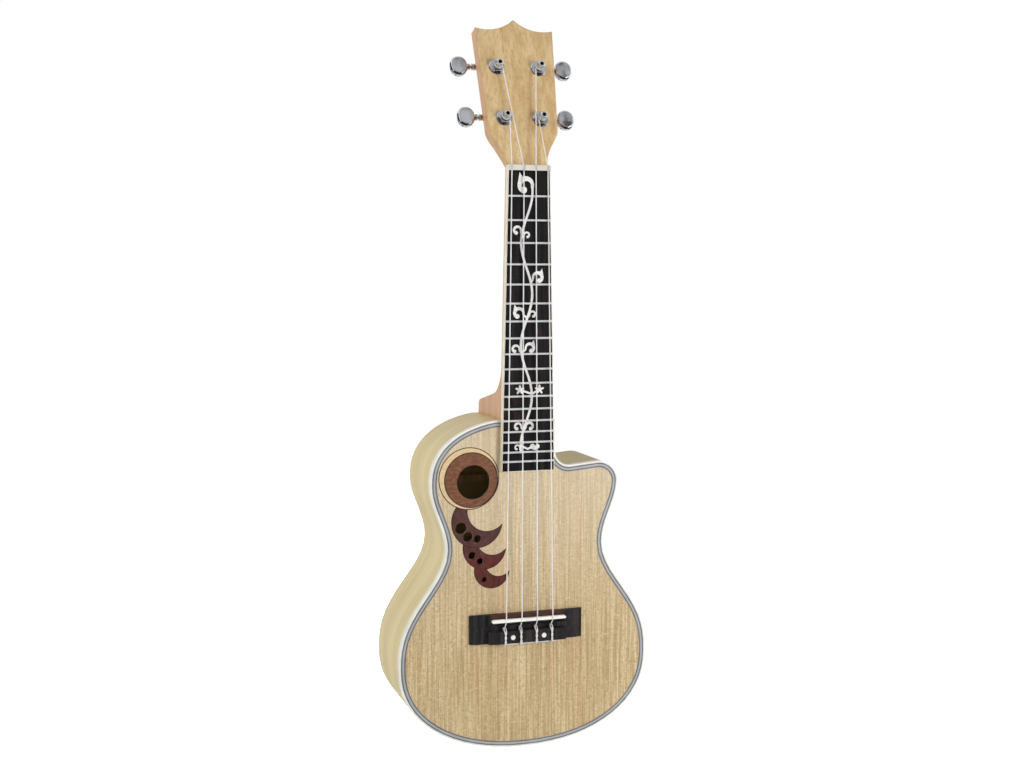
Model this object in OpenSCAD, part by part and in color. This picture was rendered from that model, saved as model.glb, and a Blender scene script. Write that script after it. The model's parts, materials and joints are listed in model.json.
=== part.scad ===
// Concert ukulele with a rounded cutaway, a tie bridge and four sealed worm-geared tuners.
// X runs across the instrument, Y from its front to its back and Z up along the neck.
// The origin is where the nut meets the fretboard, on the plane of the soundboard's face.

/* [Scale and strings] */
// Distance from the nut to the theoretical end of the strings
scale_len = 380; // [350:1:410]
// Extra string length at the saddle
saddle_setback = 2; // [0:0.5:4]
// Number of frets
fret_count = 18; // [16:1:19]
// Fret at which the neck meets the body
joint_fret = 14; // [12:1:14]
// Diameter of a string
string_d = 1; // [0.6:0.05:1.05]
// Distance between the outer strings at the nut
nut_spread = 31.8; // [27:0.2:33]
// Distance between the outer strings at the saddle
saddle_spread = 42; // [36:0.5:48]
// Turns of string on each tuner post
winding_turns = 2; // [1.5:0.5:2.5]
// Free space between one turn of string and the next
winding_space = 0.45; // [0.42:0.01:0.6]

/* [Body outline] */
// Length of the body
body_len = 286; // [270:1:310]
// Width across the lower bout
lower_bout_w = 224.4; // [205:1:240]
// Height of the widest line of the lower bout above the tail
lower_bout_up = 76.5; // [68:0.5:84]
// Width across the waist
waist_w = 141.8; // [130:1:150]
// Height of the waist above the tail
waist_up = 176.5; // [168:0.5:182]
// Width across the upper bout
upper_bout_w = 169.4; // [160:1:178]
// Drop of the widest line of the upper bout below the neck joint
upper_bout_down = 54; // [50:0.5:58]
// Height that the shoulder curve would rise above the flat neck joint
shoulder_crown = 2; // [1:0.5:4]
// Squareness of the lower bout, where 2 is an ellipse
lower_fullness = 2.18; // [2:0.02:2.4]
// Squareness of the shoulder, where 2 is an ellipse
upper_fullness = 2.3; // [2:0.02:2.5]
// How far the flank keeps the width of the lower bout before it turns in
flank_fullness = 1.27; // [1:0.01:1.4]
// Radius of the tip of the horn beside the cutaway
horn_r = 18; // [15:0.5:20]
// Drop of the cutaway's lowest point below the neck joint
cutaway_down = 40.6; // [36:0.2:42]
// Radius of the hollow of the cutaway
cutaway_r = 13; // [10:0.5:16]
// Distance of the cutaway's wall from the centre line
cutaway_wall_x = 26.3; // [25.6:0.1:28]
// Depth of the body at the neck
depth_at_neck = 70; // [64:0.5:76]
// Depth of the body at the tail
depth_at_tail = 83; // [76:0.5:90]

/* [Plates and edges] */
// Thickness of the soundboard
top_t = 2.2; // [1.8:0.1:3]
// Thickness of the back
back_t = 2.2; // [1.8:0.1:3]
// Thickness of the sides
side_t = 2.4; // [2:0.1:3]
// Width of the binding on the front edge
binding_w = 1.6; // [1:0.1:1.8]
// Height of the binding down the sides
binding_d = 5.5; // [4:0.1:7]
// Width of the whole purfling band
purfling_w = 4; // [3:0.1:5]
// Width of each dark line of the purfling
purfling_line_w = 1.2; // [0.6:0.1:1.4]
// Depth of the purfling in the soundboard
purfling_d = 1.2; // [0.8:0.1:1.5]

/* [Inside the body] */
// Width of the linings that widen the glue joint of the sides
lining_w = 5; // [3:0.5:6]
// Height of the linings
lining_h = 9; // [6:0.5:12]
// Width of the neck block
neck_block_w = 50; // [46:0.5:56]
// Length of the neck block along the neck
neck_block_len = 34; // [30:1:36]
// Width of the tail block
tail_block_w = 64; // [50:1:80]
// Length of the tail block
tail_block_len = 16; // [12:1:20]
// Width of a brace
brace_w = 6; // [4:0.5:8]
// Height of a soundboard brace
top_brace_h = 8; // [5:0.5:9]
// Height of a back brace
back_brace_h = 10; // [6:0.5:12]
// Height of a brace at its tapered ends
brace_end_h = 2; // [1:0.5:4]
// Length of the taper at each end of a brace
brace_taper = 16; // [8:1:20]
// Height of the waist brace above the saddle
waist_brace_up = 20; // [16:1:26]
// Drop of the upper brace below the neck joint
upper_brace_down = 74; // [71:1:78]
// Distance of the upper brace's left end from the centre line
upper_brace_left = 22; // [18:0.5:24]
// Drop of the struts' upper ends below the saddle
strut_down = 26; // [24:0.5:32]
// Lean of the outer struts
strut_lean = 7; // [0:0.5:10]
// Thickness of the plate below the bridge
bridge_plate_t = 2.5; // [1.5:0.1:3]
// Diameter of the dowels between the neck and the neck block
dowel_d = 8; // [6:0.5:10]
// Length of a dowel
dowel_len = 24; // [16:1:26]

/* [Soundhole and inlay] */
// Diameter of the main soundhole
soundhole_d = 29.4; // [26:0.2:32]
// Distance of the main soundhole from the centre line, to the left
soundhole_left = 46.8; // [44:0.2:48]
// Drop of the main soundhole below the neck joint
soundhole_down = 52; // [50:0.5:54]
// Depth of the inlaid veneers in the soundboard
inlay_d = 1; // [0.6:0.1:1.2]
// Width of the dark lines round the veneers
inlay_line_w = 0.8; // [0.5:0.1:1.2]
// Diameter of the round veneer about the main soundhole
ring_d = 46; // [42:0.5:48]
// Diameter of the pale veneer behind the round veneer
pale_d = 52; // [50:0.5:54]
// Radius of the largest crescent
crescent_r = 22; // [19:0.5:23]
// Radius that each crescent loses to the next
crescent_step = 3.4; // [2.5:0.1:4]
// Radius of the largest of the small holes
small_hole_r = 5; // [4:0.1:5.4]

/* [Bridge] */
// Width of the bridge across the soundboard
bridge_w = 101.6; // [92:0.2:110]
// Length of the bridge along the strings
bridge_len = 25.2; // [24:0.2:28]
// Distance from the bridge's upper edge to the middle of the saddle
saddle_in = 4.7; // [4.2:0.1:5.2]
// Length of the tie block along the strings
tie_block_len = 10.9; // [10:0.1:11.4]
// Width of the raised middle of the bridge
bridge_mid_w = 69.4; // [69:0.2:74]
// Height of the saddle bed above the soundboard
bridge_h = 8; // [7:0.1:9]
// Height of the tie block above the soundboard
tie_block_h = 9; // [8:0.1:10]
// Height of the bridge's wings
wing_h = 3.6; // [3:0.1:5]
// Radius of the hollow between the raised middle and a wing
wing_hollow_r = 1.6; // [1:0.1:2.4]
// Slope of the wings' outer ends
wing_end_slope = 20; // [15:1:35]
// Height of the wings' outer edges
wing_end_h = 1.5; // [1:0.1:2]
// Length of the saddle
saddle_len = 66.4; // [62:0.2:67]
// Thickness of the saddle
saddle_t = 2.8; // [2:0.1:3.2]
// Height of the saddle's crest above the soundboard
saddle_h = 11.2; // [10:0.1:12.5]
// Depth of the saddle in its slot
saddle_seat = 4; // [3:0.1:5]
// Diameter of the pearl dots on the tie block
dot_d = 4.2; // [3:0.1:6]

/* [Neck and fretboard] */
// Width of the neck at the nut
nut_w = 37.1; // [36:0.1:40]
// Width of the fretboard at its lower end
fretboard_end_w = 47.4; // [44:0.1:50]
// Length of the fretboard past its last fret
fretboard_overhang = 8.7; // [5:0.1:12]
// Thickness of the fretboard
fretboard_t = 6; // [4.5:0.1:7]
// Width of the fretboard's binding
fretboard_binding_w = 0.6; // [0.5:0.1:1.2]
// Width of a fret's crown
fret_w = 1.7; // [1.4:0.1:2.4]
// Width of a fret's tang
tang_w = 0.6; // [0.5:0.05:0.8]
// Depth of a fret's tang
tang_d = 1.8; // [1.2:0.1:2.4]
// Thickness of the nut along the strings
nut_t = 4.6; // [4:0.1:6]
// Height of the nut above the neck's flat face
nut_h = 8.6; // [8:0.1:10]
// Height of the strings' centres at the nut
nut_string_h = 7.9; // [7.6:0.1:8.2]
// Depth of the neck behind the fretboard at the nut
neck_d_nut = 14.5; // [13:0.1:17]
// Depth of the neck behind the fretboard at the body
neck_d_joint = 17; // [15:0.1:20]
// Radius of the neck's rounded back at the nut
neck_r_nut = 20; // [19.4:0.1:22]
// Radius of the neck's rounded back at the body
neck_r_joint = 24.5; // [24:0.1:27]
// Depth of the heel from the soundboard's face
heel_d = 67; // [58:0.5:69]
// Thickness of the heel's foot at its back
heel_foot_t = 12; // [8:0.5:16]
// Slope of the heel's foot
heel_slope = 11.8; // [6:0.2:16]
// Radius of the hollow between the neck and the heel
heel_fillet_r = 27; // [20:0.5:32]
// Radius of the heel's back corner
heel_corner_r = 5; // [3:0.5:7]
// Depth of the inlay in the fretboard
vine_d = 1; // [0.6:0.1:1.4]
// Width of the vine's stem
vine_w = 2.1; // [1.6:0.1:2.4]
// Length of one wave of the vine
vine_wave = 86.5; // [80:0.5:92]
// Swing of the vine to each side
vine_swing = 5; // [4:0.2:6]

/* [Headstock] */
// Backward tilt of the headstock
head_tilt = 17.6; // [12:0.1:19]
// Thickness of the headstock
head_t = 12; // [11:0.1:13]
// Length of the headstock from the nut to its peak
head_len = 132.8; // [128:0.2:140]
// Width of the headstock below its lower tuners
head_lower_w = 61.4; // [58:0.2:64]
// Width of the headstock at its top corners
head_upper_w = 69.4; // [66:0.2:74]
// Length of the flare from the neck to the headstock
head_flare_len = 33; // [28:0.5:36]
// Radius of the two scoops that meet in the peak
scoop_r = 36; // [33:0.5:40]
// Distance of the lowest point of each scoop from the centre line
scoop_x = 25; // [23:0.5:27]

/* [Tuners] */
// Distance of the lower posts from the centre line
lower_post_x = 16.1; // [15:0.1:17]
// Distance of the upper posts from the centre line
upper_post_x = 18.6; // [17.5:0.1:20]
// Distance of the lower posts from the nut
lower_post_up = 42.1; // [40:0.1:46]
// Distance of the upper posts from the nut
upper_post_up = 88.5; // [86:0.1:94]
// Diameter of a post
post_d = 6; // [5.6:0.1:6.4]
// Diameter of a post where the string winds
post_waist_d = 5.2; // [4.6:0.1:5.4]
// Height of a post's head above the part where the string winds
post_cap_h = 2.6; // [1.4:0.1:3]
// Diameter of the washer under a bushing
washer_d = 14; // [13:0.2:15]
// Thickness of the washer
washer_t = 1; // [0.8:0.1:1.2]
// Width of a bushing's hexagon across its flats
hex_w = 10.4; // [9.6:0.1:11]
// Height of a bushing's hexagon
hex_h = 2.4; // [2:0.1:3.4]
// Outer diameter of a bushing's sleeve
sleeve_d = 8; // [7.6:0.1:8.6]
// Number of teeth on a gear
gear_teeth = 14; // [14:1:14]
// Module of the gear and the worm
gear_module = 0.65; // [0.62:0.01:0.66]
// Width of a gear along its post
gear_w = 3; // [2:0.1:3.2]
// Pitch radius of a worm
worm_pitch_r = 2.45; // [2.4:0.05:2.6]
// Length of a worm
worm_len = 7; // [6:0.5:8]
// Wall of a tuner's housing
housing_wall = 1.5; // [1.2:0.1:2]
// Thickness of a housing's cover
cover_t = 1.5; // [1:0.1:2]
// Diameter of a button's shaft
shaft_d = 3; // [2.6:0.1:3.2]
// Diameter of the boss that carries the shaft
boss_d = 5.6; // [4.4:0.1:6]
// Distance from a post to the end of its housing's boss
boss_reach = 17.5; // [16:0.5:18.5]
// Distance from a post to the middle of its button
button_reach = 28.8; // [28:0.2:32]
// Width of an oval button along its shaft
button_w = 15.6; // [14:0.2:16]
// Length of an oval button across its shaft
button_len = 17.8; // [17:0.2:18.4]
// Thickness of a button
button_t = 6.6; // [5.6:0.1:7.5]

/* [Fits] */
// Radial clearance of a shaft that turns
running_fit = 0.05; // [0.02:0.01:0.08]
// Clearance of a glued or pressed piece
glue_gap = 0.03; // [0.01:0.01:0.05]
// Gap between a turning post and the string wound on it
winding_gap = 0.3; // [0.25:0.05:0.4]
// Free space round the worm and the gear in their housing
gear_room = 0.5; // [0.4:0.05:0.6]

/* [Hidden] */
$fn = 96;
TUNERS = [1, 2, 3, 4];

// Lines along the neck
function fret_z(n) = -scale_len * (1 - pow(2, -n / 12));
joint_z = fret_z(joint_fret);
tail_z = joint_z - body_len;
fretboard_len = fretboard_overhang - fret_z(fret_count);
saddle_z = -scale_len - saddle_setback;
function neck_half(z) = (nut_w + (fretboard_end_w - nut_w) * -z / fretboard_len) / 2;

// Body outline, listed anticlockwise from the left end of the flat neck joint
lower_z = tail_z + lower_bout_up;
waist_z = tail_z + waist_up;
upper_z = joint_z - upper_bout_down;
horn_z = upper_z - shoulder_crown;
lower_half = lower_bout_w / 2;
waist_half = waist_w / 2;
upper_half = upper_bout_w / 2;
shoulder_rise = upper_bout_down + shoulder_crown;
shoulder_start = asin(pow(upper_bout_down / shoulder_rise, upper_fullness / 2));
bout_steps = 16;
flank_steps = 12;
corner_steps = 10;

function bulge(rx, rz, fullness, t) = [rx * pow(cos(t), 2 / fullness), rz * pow(sin(t), 2 / fullness)];
function ease(a, b, t) = (a + b) / 2 + (a - b) / 2 * cos(180 * t);
function flank_half(z) =
    ease(lower_half, waist_half, pow((z - lower_z) / (waist_z - lower_z), flank_fullness));
function chest_half(z) = ease(waist_half, upper_half, (z - waist_z) / (upper_z - waist_z));
function tail_half(z) =
    lower_half * pow(1 - pow((lower_z - z) / lower_bout_up, lower_fullness), 1 / lower_fullness);
function half_at(z) = z < lower_z ? tail_half(z) : z < waist_z ? flank_half(z) : chest_half(z);
function arc(c, r, a0, a1, steps) =
    [for (i = [0:steps]) c + r * [cos(a0 + (a1 - a0) * i / steps), sin(a0 + (a1 - a0) * i / steps)]];
function reverse(list) = [for (i = [len(list) - 1:-1:0]) list[i]];
function without_first(list) = [for (i = [1:len(list) - 1]) list[i]];

horn_c = [chest_half(horn_z) - horn_r, horn_z];
hollow_c = [cutaway_wall_x + cutaway_r, joint_z - cutaway_down + cutaway_r];
hollow_to_horn = horn_c - hollow_c;
floor_normal =
    atan2(hollow_to_horn[1], hollow_to_horn[0]) - acos((horn_r + cutaway_r) / norm(hollow_to_horn));

left_shoulder = [
    for (i = [0:bout_steps - 1])
    let (b = bulge(upper_half, shoulder_rise, upper_fullness, shoulder_start * (1 - i / bout_steps)))
    [-b[0], upper_z + b[1]]
];
left_chest = [
    for (i = [0:flank_steps - 1])
    let (z = upper_z + (waist_z - upper_z) * i / flank_steps)
    [-chest_half(z), z]
];
right_flank = [
    for (i = [0:flank_steps])
    let (z = lower_z + (waist_z - lower_z) * i / flank_steps)
    [flank_half(z), z]
];
right_tail = [
    for (i = [0:bout_steps - 1])
    let (b = bulge(lower_half, lower_bout_up, lower_fullness, 90 - 90 * i / bout_steps))
    [b[0], lower_z - b[1]]
];
right_lower = concat(right_tail, right_flank);
left_lower = [for (p = reverse(without_first(right_lower))) [-p[0], p[1]]];
right_chest = [
    for (i = [1:flank_steps])
    let (z = waist_z + (horn_z - waist_z) * i / flank_steps)
    [chest_half(z), z]
];
horn = without_first(arc(horn_c, horn_r, 0, floor_normal + 180, corner_steps));
hollow = arc(hollow_c, cutaway_r, floor_normal, -180, corner_steps);
outline = concat(left_shoulder, left_chest, left_lower, right_lower, right_chest, horn, hollow,
                 [[cutaway_wall_x, joint_z]]);

// Tilted plane of the back
back_angle = atan((depth_at_tail - depth_at_neck) / body_len);
far = 1000;

// Bridge lines
bridge_top_z = saddle_z + saddle_in;
bridge_low_z = bridge_top_z - bridge_len;
tie_face_z = bridge_low_z + tie_block_len;
tie_hole_r = string_d / 2 + 0.35;
tie_hole_h = 0.52 * tie_block_h;
channel_h = tie_hole_h - tie_hole_r - 0.5;

// Headstock frame: x across, s up along its face and w out from its face
function from_head(p) = [
    p[0],
    p[1] * sin(head_tilt) - p[2] * cos(head_tilt),
    nut_t + p[1] * cos(head_tilt) + p[2] * sin(head_tilt)
];
function to_head(p) = [
    p[0],
    p[1] * sin(head_tilt) + (p[2] - nut_t) * cos(head_tilt),
    -p[1] * cos(head_tilt) + (p[2] - nut_t) * sin(head_tilt)
];

// Tuners count from the lower left one, up, across and down the right side
function tuner_side(k) = k < 3 ? -1 : 1;
function is_lower(k) = k == 1 || k == 4;
function post_x(k) = tuner_side(k) * (is_lower(k) ? lower_post_x : upper_post_x);
function post_s(k) = is_lower(k) ? lower_post_up : upper_post_up;
gear_pitch_r = gear_teeth * gear_module / 2;
gear_tip_r = gear_pitch_r + 0.92 * gear_module;
gear_root_r = gear_pitch_r - 1.08 * gear_module;
worm_lead = PI * gear_module;
worm_tip_r = worm_pitch_r + 0.85 * gear_module;
worm_root_r = worm_pitch_r - 1.08 * gear_module;
worm_up = gear_pitch_r + worm_pitch_r;
gear_room_h = 2 * (worm_tip_r + gear_room);
gear_w_mid = -head_t - housing_wall - gear_room_h / 2;
housing_back_w = -head_t - housing_wall - gear_room_h;
room_r = gear_tip_r + gear_room;
room_top = worm_up + worm_tip_r + gear_room;
lug_drop = room_r + housing_wall + 2.6;
lug_r = 2.8;
lug_t = 2;
lug_screw_d = 2;
screw_len = 5;

// Strings count from the left
function string_share(k) = (k - 2.5) / 3;
winding_r = post_waist_d / 2 + winding_gap + string_d / 2;
winding_pitch = string_d + winding_space;
winding_low = washer_t + hex_h + string_d / 2 + 0.4;
post_waist_low = washer_t + hex_h + 0.2;
post_waist_high = winding_low + winding_turns * winding_pitch + string_d / 2 + winding_gap;
post_h = post_waist_high + post_cap_h;

function unit(v) = v / norm(v);
function left_of(v) = [-v[1], v[0]];
// Moves every edge of a closed outline inward by the same distance
function inset(p, d) = [
    for (i = [0:len(p) - 1])
    let (n = len(p),
         a = left_of(unit(p[i] - p[(i + n - 1) % n])),
         b = left_of(unit(p[(i + 1) % n] - p[i])))
    p[i] + d * (a + b) / (1 + a * b)
];

// Shared shapes

// A flat drawing in X and Z made into a board between two depths
module board(y0, y1) {
    translate([0, y1, 0]) rotate([90, 0, 0]) linear_extrude(y1 - y0) children();
}

// A flat drawing in Y and Z made into a bar across X
module across(w) {
    translate([-w / 2, 0, 0]) rotate([90, 0, 90]) linear_extrude(w) children();
}

// A band along the body's edge between two insets
module edge_band(d0, d1) {
    difference() {
        polygon(inset(outline, d0));
        polygon(inset(outline, d1));
    }
}

// The frame of the tilted back, with its outer face at y = 0
module on_back() {
    translate([0, depth_at_neck, joint_z]) rotate([back_angle, 0, 0]) children();
}

// The layer of the back frame between two distances from its outer face
module back_layer(d0, d1) {
    on_back() translate([-far / 2, -d1, -far]) cube([far, d1 - d0, 2 * far]);
}

module on_headstock() {
    translate([0, 0, nut_t]) rotate([90 - head_tilt, 0, 0]) children();
}

// The frame of one tuner at its post, built for the left side and mirrored to the right
module at_tuner(k) {
    on_headstock() translate([post_x(k), post_s(k), 0]) mirror([tuner_side(k) > 0 ? 1 : 0, 0, 0]) children();
}

module all_tuners() {
    for (k = TUNERS) at_tuner(k) children();
}

// A tube of six sides swept along a list of points
module tube(path, d) {
    n = len(path);
    sides = 6;
    tangents = [for (i = [0:n - 1]) unit(path[min(i + 1, n - 1)] - path[max(i - 1, 0)])];
    first = unit(cross(tangents[0], abs(tangents[0][0]) < 0.9 ? [1, 0, 0] : [0, 1, 0]));
    normals = [
        for (i = 0, u = first; i < n; i = i + 1, u = i < n ? unit(u - (u * tangents[i]) * tangents[i]) : u) u
    ];
    points = [
        for (i = [0:n - 1])
        for (j = [0:sides - 1])
        let (v = cross(tangents[i], normals[i]), a = 360 * j / sides)
        path[i] + d / 2 * (cos(a) * normals[i] + sin(a) * v)
    ];
    walls = [
        for (i = [0:n - 2])
        for (j = [0:sides - 1])
        for (half = [0, 1])
        let (j1 = (j + 1) % sides, a = i * sides + j, b = i * sides + j1, c = a + sides, e = b + sides)
        half == 0 ? [a, c, b] : [b, c, e]
    ];
    ends = [[for (j = [0:sides - 1]) j], [for (j = [sides - 1:-1:0]) (n - 1) * sides + j]];
    polyhedron(points, concat(walls, ends));
}

// Body

module soundboard() {
    color("#e3cfa6") difference() {
        board(0, top_t) polygon(inset(outline, binding_w));
        board(-1, purfling_d) edge_band(binding_w - 1, binding_w + purfling_w);
        board(-1, top_t + 1) soundholes();
        board(-1, inlay_d) inlay_area();
    }
}

module back() {
    color("#e0cfa0") intersection() {
        board(0, depth_at_tail + far / 10) polygon(outline);
        back_layer(0, back_t);
    }
}

module sides() {
    difference() {
        intersection() {
            board(top_t, depth_at_tail + far / 10) edge_band(0, side_t);
            back_layer(back_t, far);
        }
        board(top_t - 1, binding_d) edge_band(-1, binding_w);
        dowel_holes();
    }
}

module side_left() {
    color("#ddcb98") intersection() {
        sides();
        translate([-far, -far / 2, -far]) cube([far, far, 2 * far]);
    }
}

module side_right() {
    color("#ddcb98") intersection() {
        sides();
        translate([0, -far / 2, -far]) cube([far, far, 2 * far]);
    }
}

module front_binding() {
    color("#f4f1e6") board(0, binding_d) edge_band(0, binding_w);
}

module purfling_dark() {
    color("#5f5f68") board(0, purfling_d) {
        edge_band(binding_w, binding_w + purfling_line_w);
        edge_band(binding_w + purfling_w - purfling_line_w, binding_w + purfling_w);
    }
}

module purfling_light() {
    color("#a8a6b2") board(0, purfling_d)
        edge_band(binding_w + purfling_line_w, binding_w + purfling_w - purfling_line_w);
}

// Inside the body

module neck_block_area() {
    translate([-neck_block_w / 2, joint_z - neck_block_len]) square([neck_block_w, neck_block_len]);
}

module tail_block_area() {
    translate([-tail_block_w / 2, tail_z]) square([tail_block_w, tail_block_len]);
}

module between_plates() {
    intersection() {
        board(top_t, depth_at_tail + far / 10) intersection() {
            polygon(inset(outline, side_t));
            children();
        }
        back_layer(back_t, far);
    }
}

module neck_block() {
    color("#c9a877") difference() {
        between_plates() neck_block_area();
        dowel_holes();
    }
}

module tail_block() {
    color("#c9a877") between_plates() tail_block_area();
}

module lining_area() {
    difference() {
        edge_band(side_t, side_t + lining_w);
        neck_block_area();
        tail_block_area();
    }
}

module front_lining() {
    color("#cfb07f") board(top_t, top_t + lining_h) lining_area();
}

module back_lining() {
    color("#cfb07f") intersection() {
        board(top_t + lining_h, depth_at_tail + far / 10) lining_area();
        back_layer(back_t, back_t + lining_h);
    }
}

module brace_side(len, h) {
    polygon([
        [-len / 2, 0], [len / 2, 0], [len / 2, brace_end_h], [len / 2 - brace_taper, h],
        [-len / 2 + brace_taper, h], [-len / 2, brace_end_h]
    ]);
}

// Half the free width between the linings
brace_end_gap = 2.2;
function free_half(z) = half_at(z) - side_t - lining_w - brace_end_gap;
waist_brace_z = saddle_z + waist_brace_up;
upper_brace_z = joint_z - upper_brace_down;
strut_low_z = tail_z + tail_block_len + 2 * brace_w;
strut_len = saddle_z - strut_down - strut_low_z;

module soundboard_braces() {
    upper_brace_right = free_half(upper_brace_z - brace_w);
    upper_brace_x = (upper_brace_right - upper_brace_left) / 2;
    color("#d8bd8c") {
        translate([0, top_t, waist_brace_z - brace_w / 2]) linear_extrude(brace_w)
            brace_side(2 * free_half(waist_brace_z + brace_w / 2), top_brace_h);
        translate([upper_brace_x, top_t, upper_brace_z - brace_w]) linear_extrude(brace_w)
            brace_side(upper_brace_right + upper_brace_left, top_brace_h);
        for (lane = [-1, 0, 1])
            translate([lane * lower_bout_w / 5, top_t, strut_low_z + strut_len / 2])
                rotate([0, -lane * strut_lean, 0])
                    translate([-brace_w / 2, 0, 0]) rotate([0, 90, 0]) linear_extrude(brace_w)
                        brace_side(strut_len, top_brace_h);
    }
}

module back_braces() {
    color("#d8bd8c") for (z = [upper_z - brace_w, waist_z - brace_w, lower_z])
        on_back() translate([0, -back_t, z - joint_z]) rotate([0, 0, 180]) linear_extrude(brace_w)
            brace_side(2 * min(free_half(z - brace_w), free_half(z + 2 * brace_w)), back_brace_h);
}

module bridge_plate() {
    margin = 2;
    color("#b98c5a") board(top_t, top_t + bridge_plate_t)
        translate([-bridge_w / 2 - 2 * margin, bridge_low_z - margin])
            square([bridge_w + 4 * margin, bridge_len + 2 * margin]);
}

module dowel_places() {
    for (share = [0.26, 0.63]) translate([0, share * depth_at_neck, joint_z]) children();
}

module dowel_holes() {
    dowel_places() cylinder(h = dowel_len + 2 * glue_gap, d = dowel_d + 2 * glue_gap, center = true);
}

module neck_dowels() {
    color("#c08d5c") dowel_places() cylinder(h = dowel_len, d = dowel_d, center = true);
}

// Soundhole inlay: a ring, a pale crescent behind it and three crescents that step down beside it

soundhole_p = [-soundhole_left, joint_z - soundhole_down];
ring_off = soundhole_d * [-0.07, 0.07];
pale_off = soundhole_d * [-0.136, 0.116];
function crescent_size(i) = crescent_r - i * crescent_step;
function crescent_p(i) = crescent_r * [0.14 + 0.3 * i, -0.36 - 1.064 * i + 0.05 * i * i] - [0, pale_d / 2];
crescent_bite = 0.84;
crescent_shift = 0.42;
small_hole_ring = 0.68;
// Small holes: crescent, bearing from its centre and share of the largest radius
small_holes = [[0, 200, 1], [0, 238, 0.86], [0, 272, 0.68], [1, 212, 0.66], [1, 252, 0.56], [2, 232, 0.48]];

module at_soundhole() {
    translate(soundhole_p) children();
}

module soundholes() {
    at_soundhole() {
        circle(d = soundhole_d);
        for (h = small_holes)
            translate(crescent_p(h[0]) + small_hole_ring * crescent_size(h[0]) * [cos(h[1]), sin(h[1])])
                circle(r = small_hole_r * h[2]);
    }
}

module ring_shape(grow) {
    translate(ring_off) circle(r = ring_d / 2 + grow);
}

module pale_shape(grow) {
    translate(pale_off) circle(r = pale_d / 2 + grow);
}

// A crescent that opens up and to the right, cut back by what lies on top of it
module crescent(i, grow) {
    r = crescent_size(i);
    difference() {
        translate(crescent_p(i)) circle(r = r + grow);
        translate(crescent_p(i) + crescent_shift * r * [1, 1]) circle(r = crescent_bite * r - grow);
        if (i > 0) translate(crescent_p(i - 1)) circle(r = crescent_size(i - 1) + inlay_line_w - grow);
        if (i == 0) pale_shape(inlay_line_w - grow);
    }
}

module inlay_area() {
    at_soundhole() {
        pale_shape(inlay_line_w);
        for (i = [0:2]) crescent(i, inlay_line_w);
    }
}

module soundhole_ring() {
    color("#8a5a3c") board(0, inlay_d) difference() {
        at_soundhole() ring_shape(-glue_gap);
        soundholes();
    }
}

module pale_inlay() {
    color("#d9b98a") board(0, inlay_d) difference() {
        at_soundhole() difference() {
            pale_shape(-glue_gap);
            ring_shape(inlay_line_w + glue_gap);
        }
        soundholes();
    }
}

module crescent_inlays() {
    color("#5a2a24") board(0, inlay_d) difference() {
        at_soundhole() for (i = [0:2]) crescent(i, -glue_gap);
        soundholes();
    }
}

module inlay_lines() {
    color("#1d1512") board(0, inlay_d) difference() {
        at_soundhole() {
            difference() {
                pale_shape(inlay_line_w - glue_gap);
                pale_shape(0);
            }
            difference() {
                ring_shape(inlay_line_w);
                ring_shape(0);
            }
            for (i = [0:2]) difference() {
                crescent(i, inlay_line_w - glue_gap);
                crescent(i, 0);
                pale_shape(inlay_line_w);
            }
        }
        soundholes();
    }
}

// Bridge

function string_x_saddle(k) = string_share(k) * saddle_spread;
function string_x_nut(k) = string_share(k) * nut_spread;

module bridge_side() {
    front_bevel = 2.2;
    rear_bevel = 1.2;
    edge = 0.5;
    polygon([
        [0, bridge_top_z], [-0.7 * bridge_h, bridge_top_z], [-bridge_h, bridge_top_z - front_bevel],
        [-bridge_h, saddle_z - saddle_t], [-channel_h, saddle_z - 2 * saddle_t], [-channel_h, tie_face_z],
        [-tie_block_h + edge, tie_face_z], [-tie_block_h, tie_face_z - edge],
        [-tie_block_h, bridge_low_z + rear_bevel], [-tie_block_h + rear_bevel, bridge_low_z],
        [0, bridge_low_z]
    ]);
}

// The space above a wing, with a hollow corner at the raised middle
module above_wing() {
    x = bridge_mid_w / 2;
    r = wing_hollow_r;
    reach = far / 10;
    translate([x, -reach]) square([reach, reach - wing_h - r]);
    translate([x + r, -reach]) square([reach, reach - wing_h]);
    translate([x + r, -wing_h - r]) circle(r = r);
    translate([bridge_w / 2, -wing_end_h]) rotate(wing_end_slope) translate([-reach / 2, -reach])
        square([reach, reach]);
}

module saddle_plan(grow) {
    end_x = (saddle_len - saddle_t) / 2;
    r = saddle_t / 2 + grow;
    translate([-end_x, saddle_z - r]) square([2 * end_x, 2 * r]);
    for (side = [-1, 1]) translate([side * end_x, saddle_z]) circle(r = r);
}

module bridge() {
    color("#2a201c") difference() {
        across(bridge_w) bridge_side();
        for (side = [0, 1])
            mirror([side, 0, 0]) translate([0, 0, bridge_low_z - 1])
                linear_extrude(bridge_len + 2) above_wing();
        board(-far / 10, saddle_seat - bridge_h) saddle_plan(glue_gap);
        for (k = TUNERS)
            translate([string_x_saddle(k), -tie_hole_h, bridge_low_z - 1])
                cylinder(h = tie_block_len + 2, r = tie_hole_r);
        dot_places() cylinder(h = 2 * dot_depth, d = dot_d + 2 * glue_gap, center = true);
    }
}

dot_depth = 1.5;
dot_proud = 0.1;

module dot_places() {
    for (side = [-1, 1])
        translate([side * saddle_spread / 3, -tie_block_h, bridge_low_z + tie_block_len / 2])
            rotate([90, 0, 0]) children();
}

module bridge_dots() {
    color("#f2efe6") dot_places() translate([0, 0, -dot_depth])
        cylinder(h = dot_depth + dot_proud, d = dot_d);
}

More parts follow.
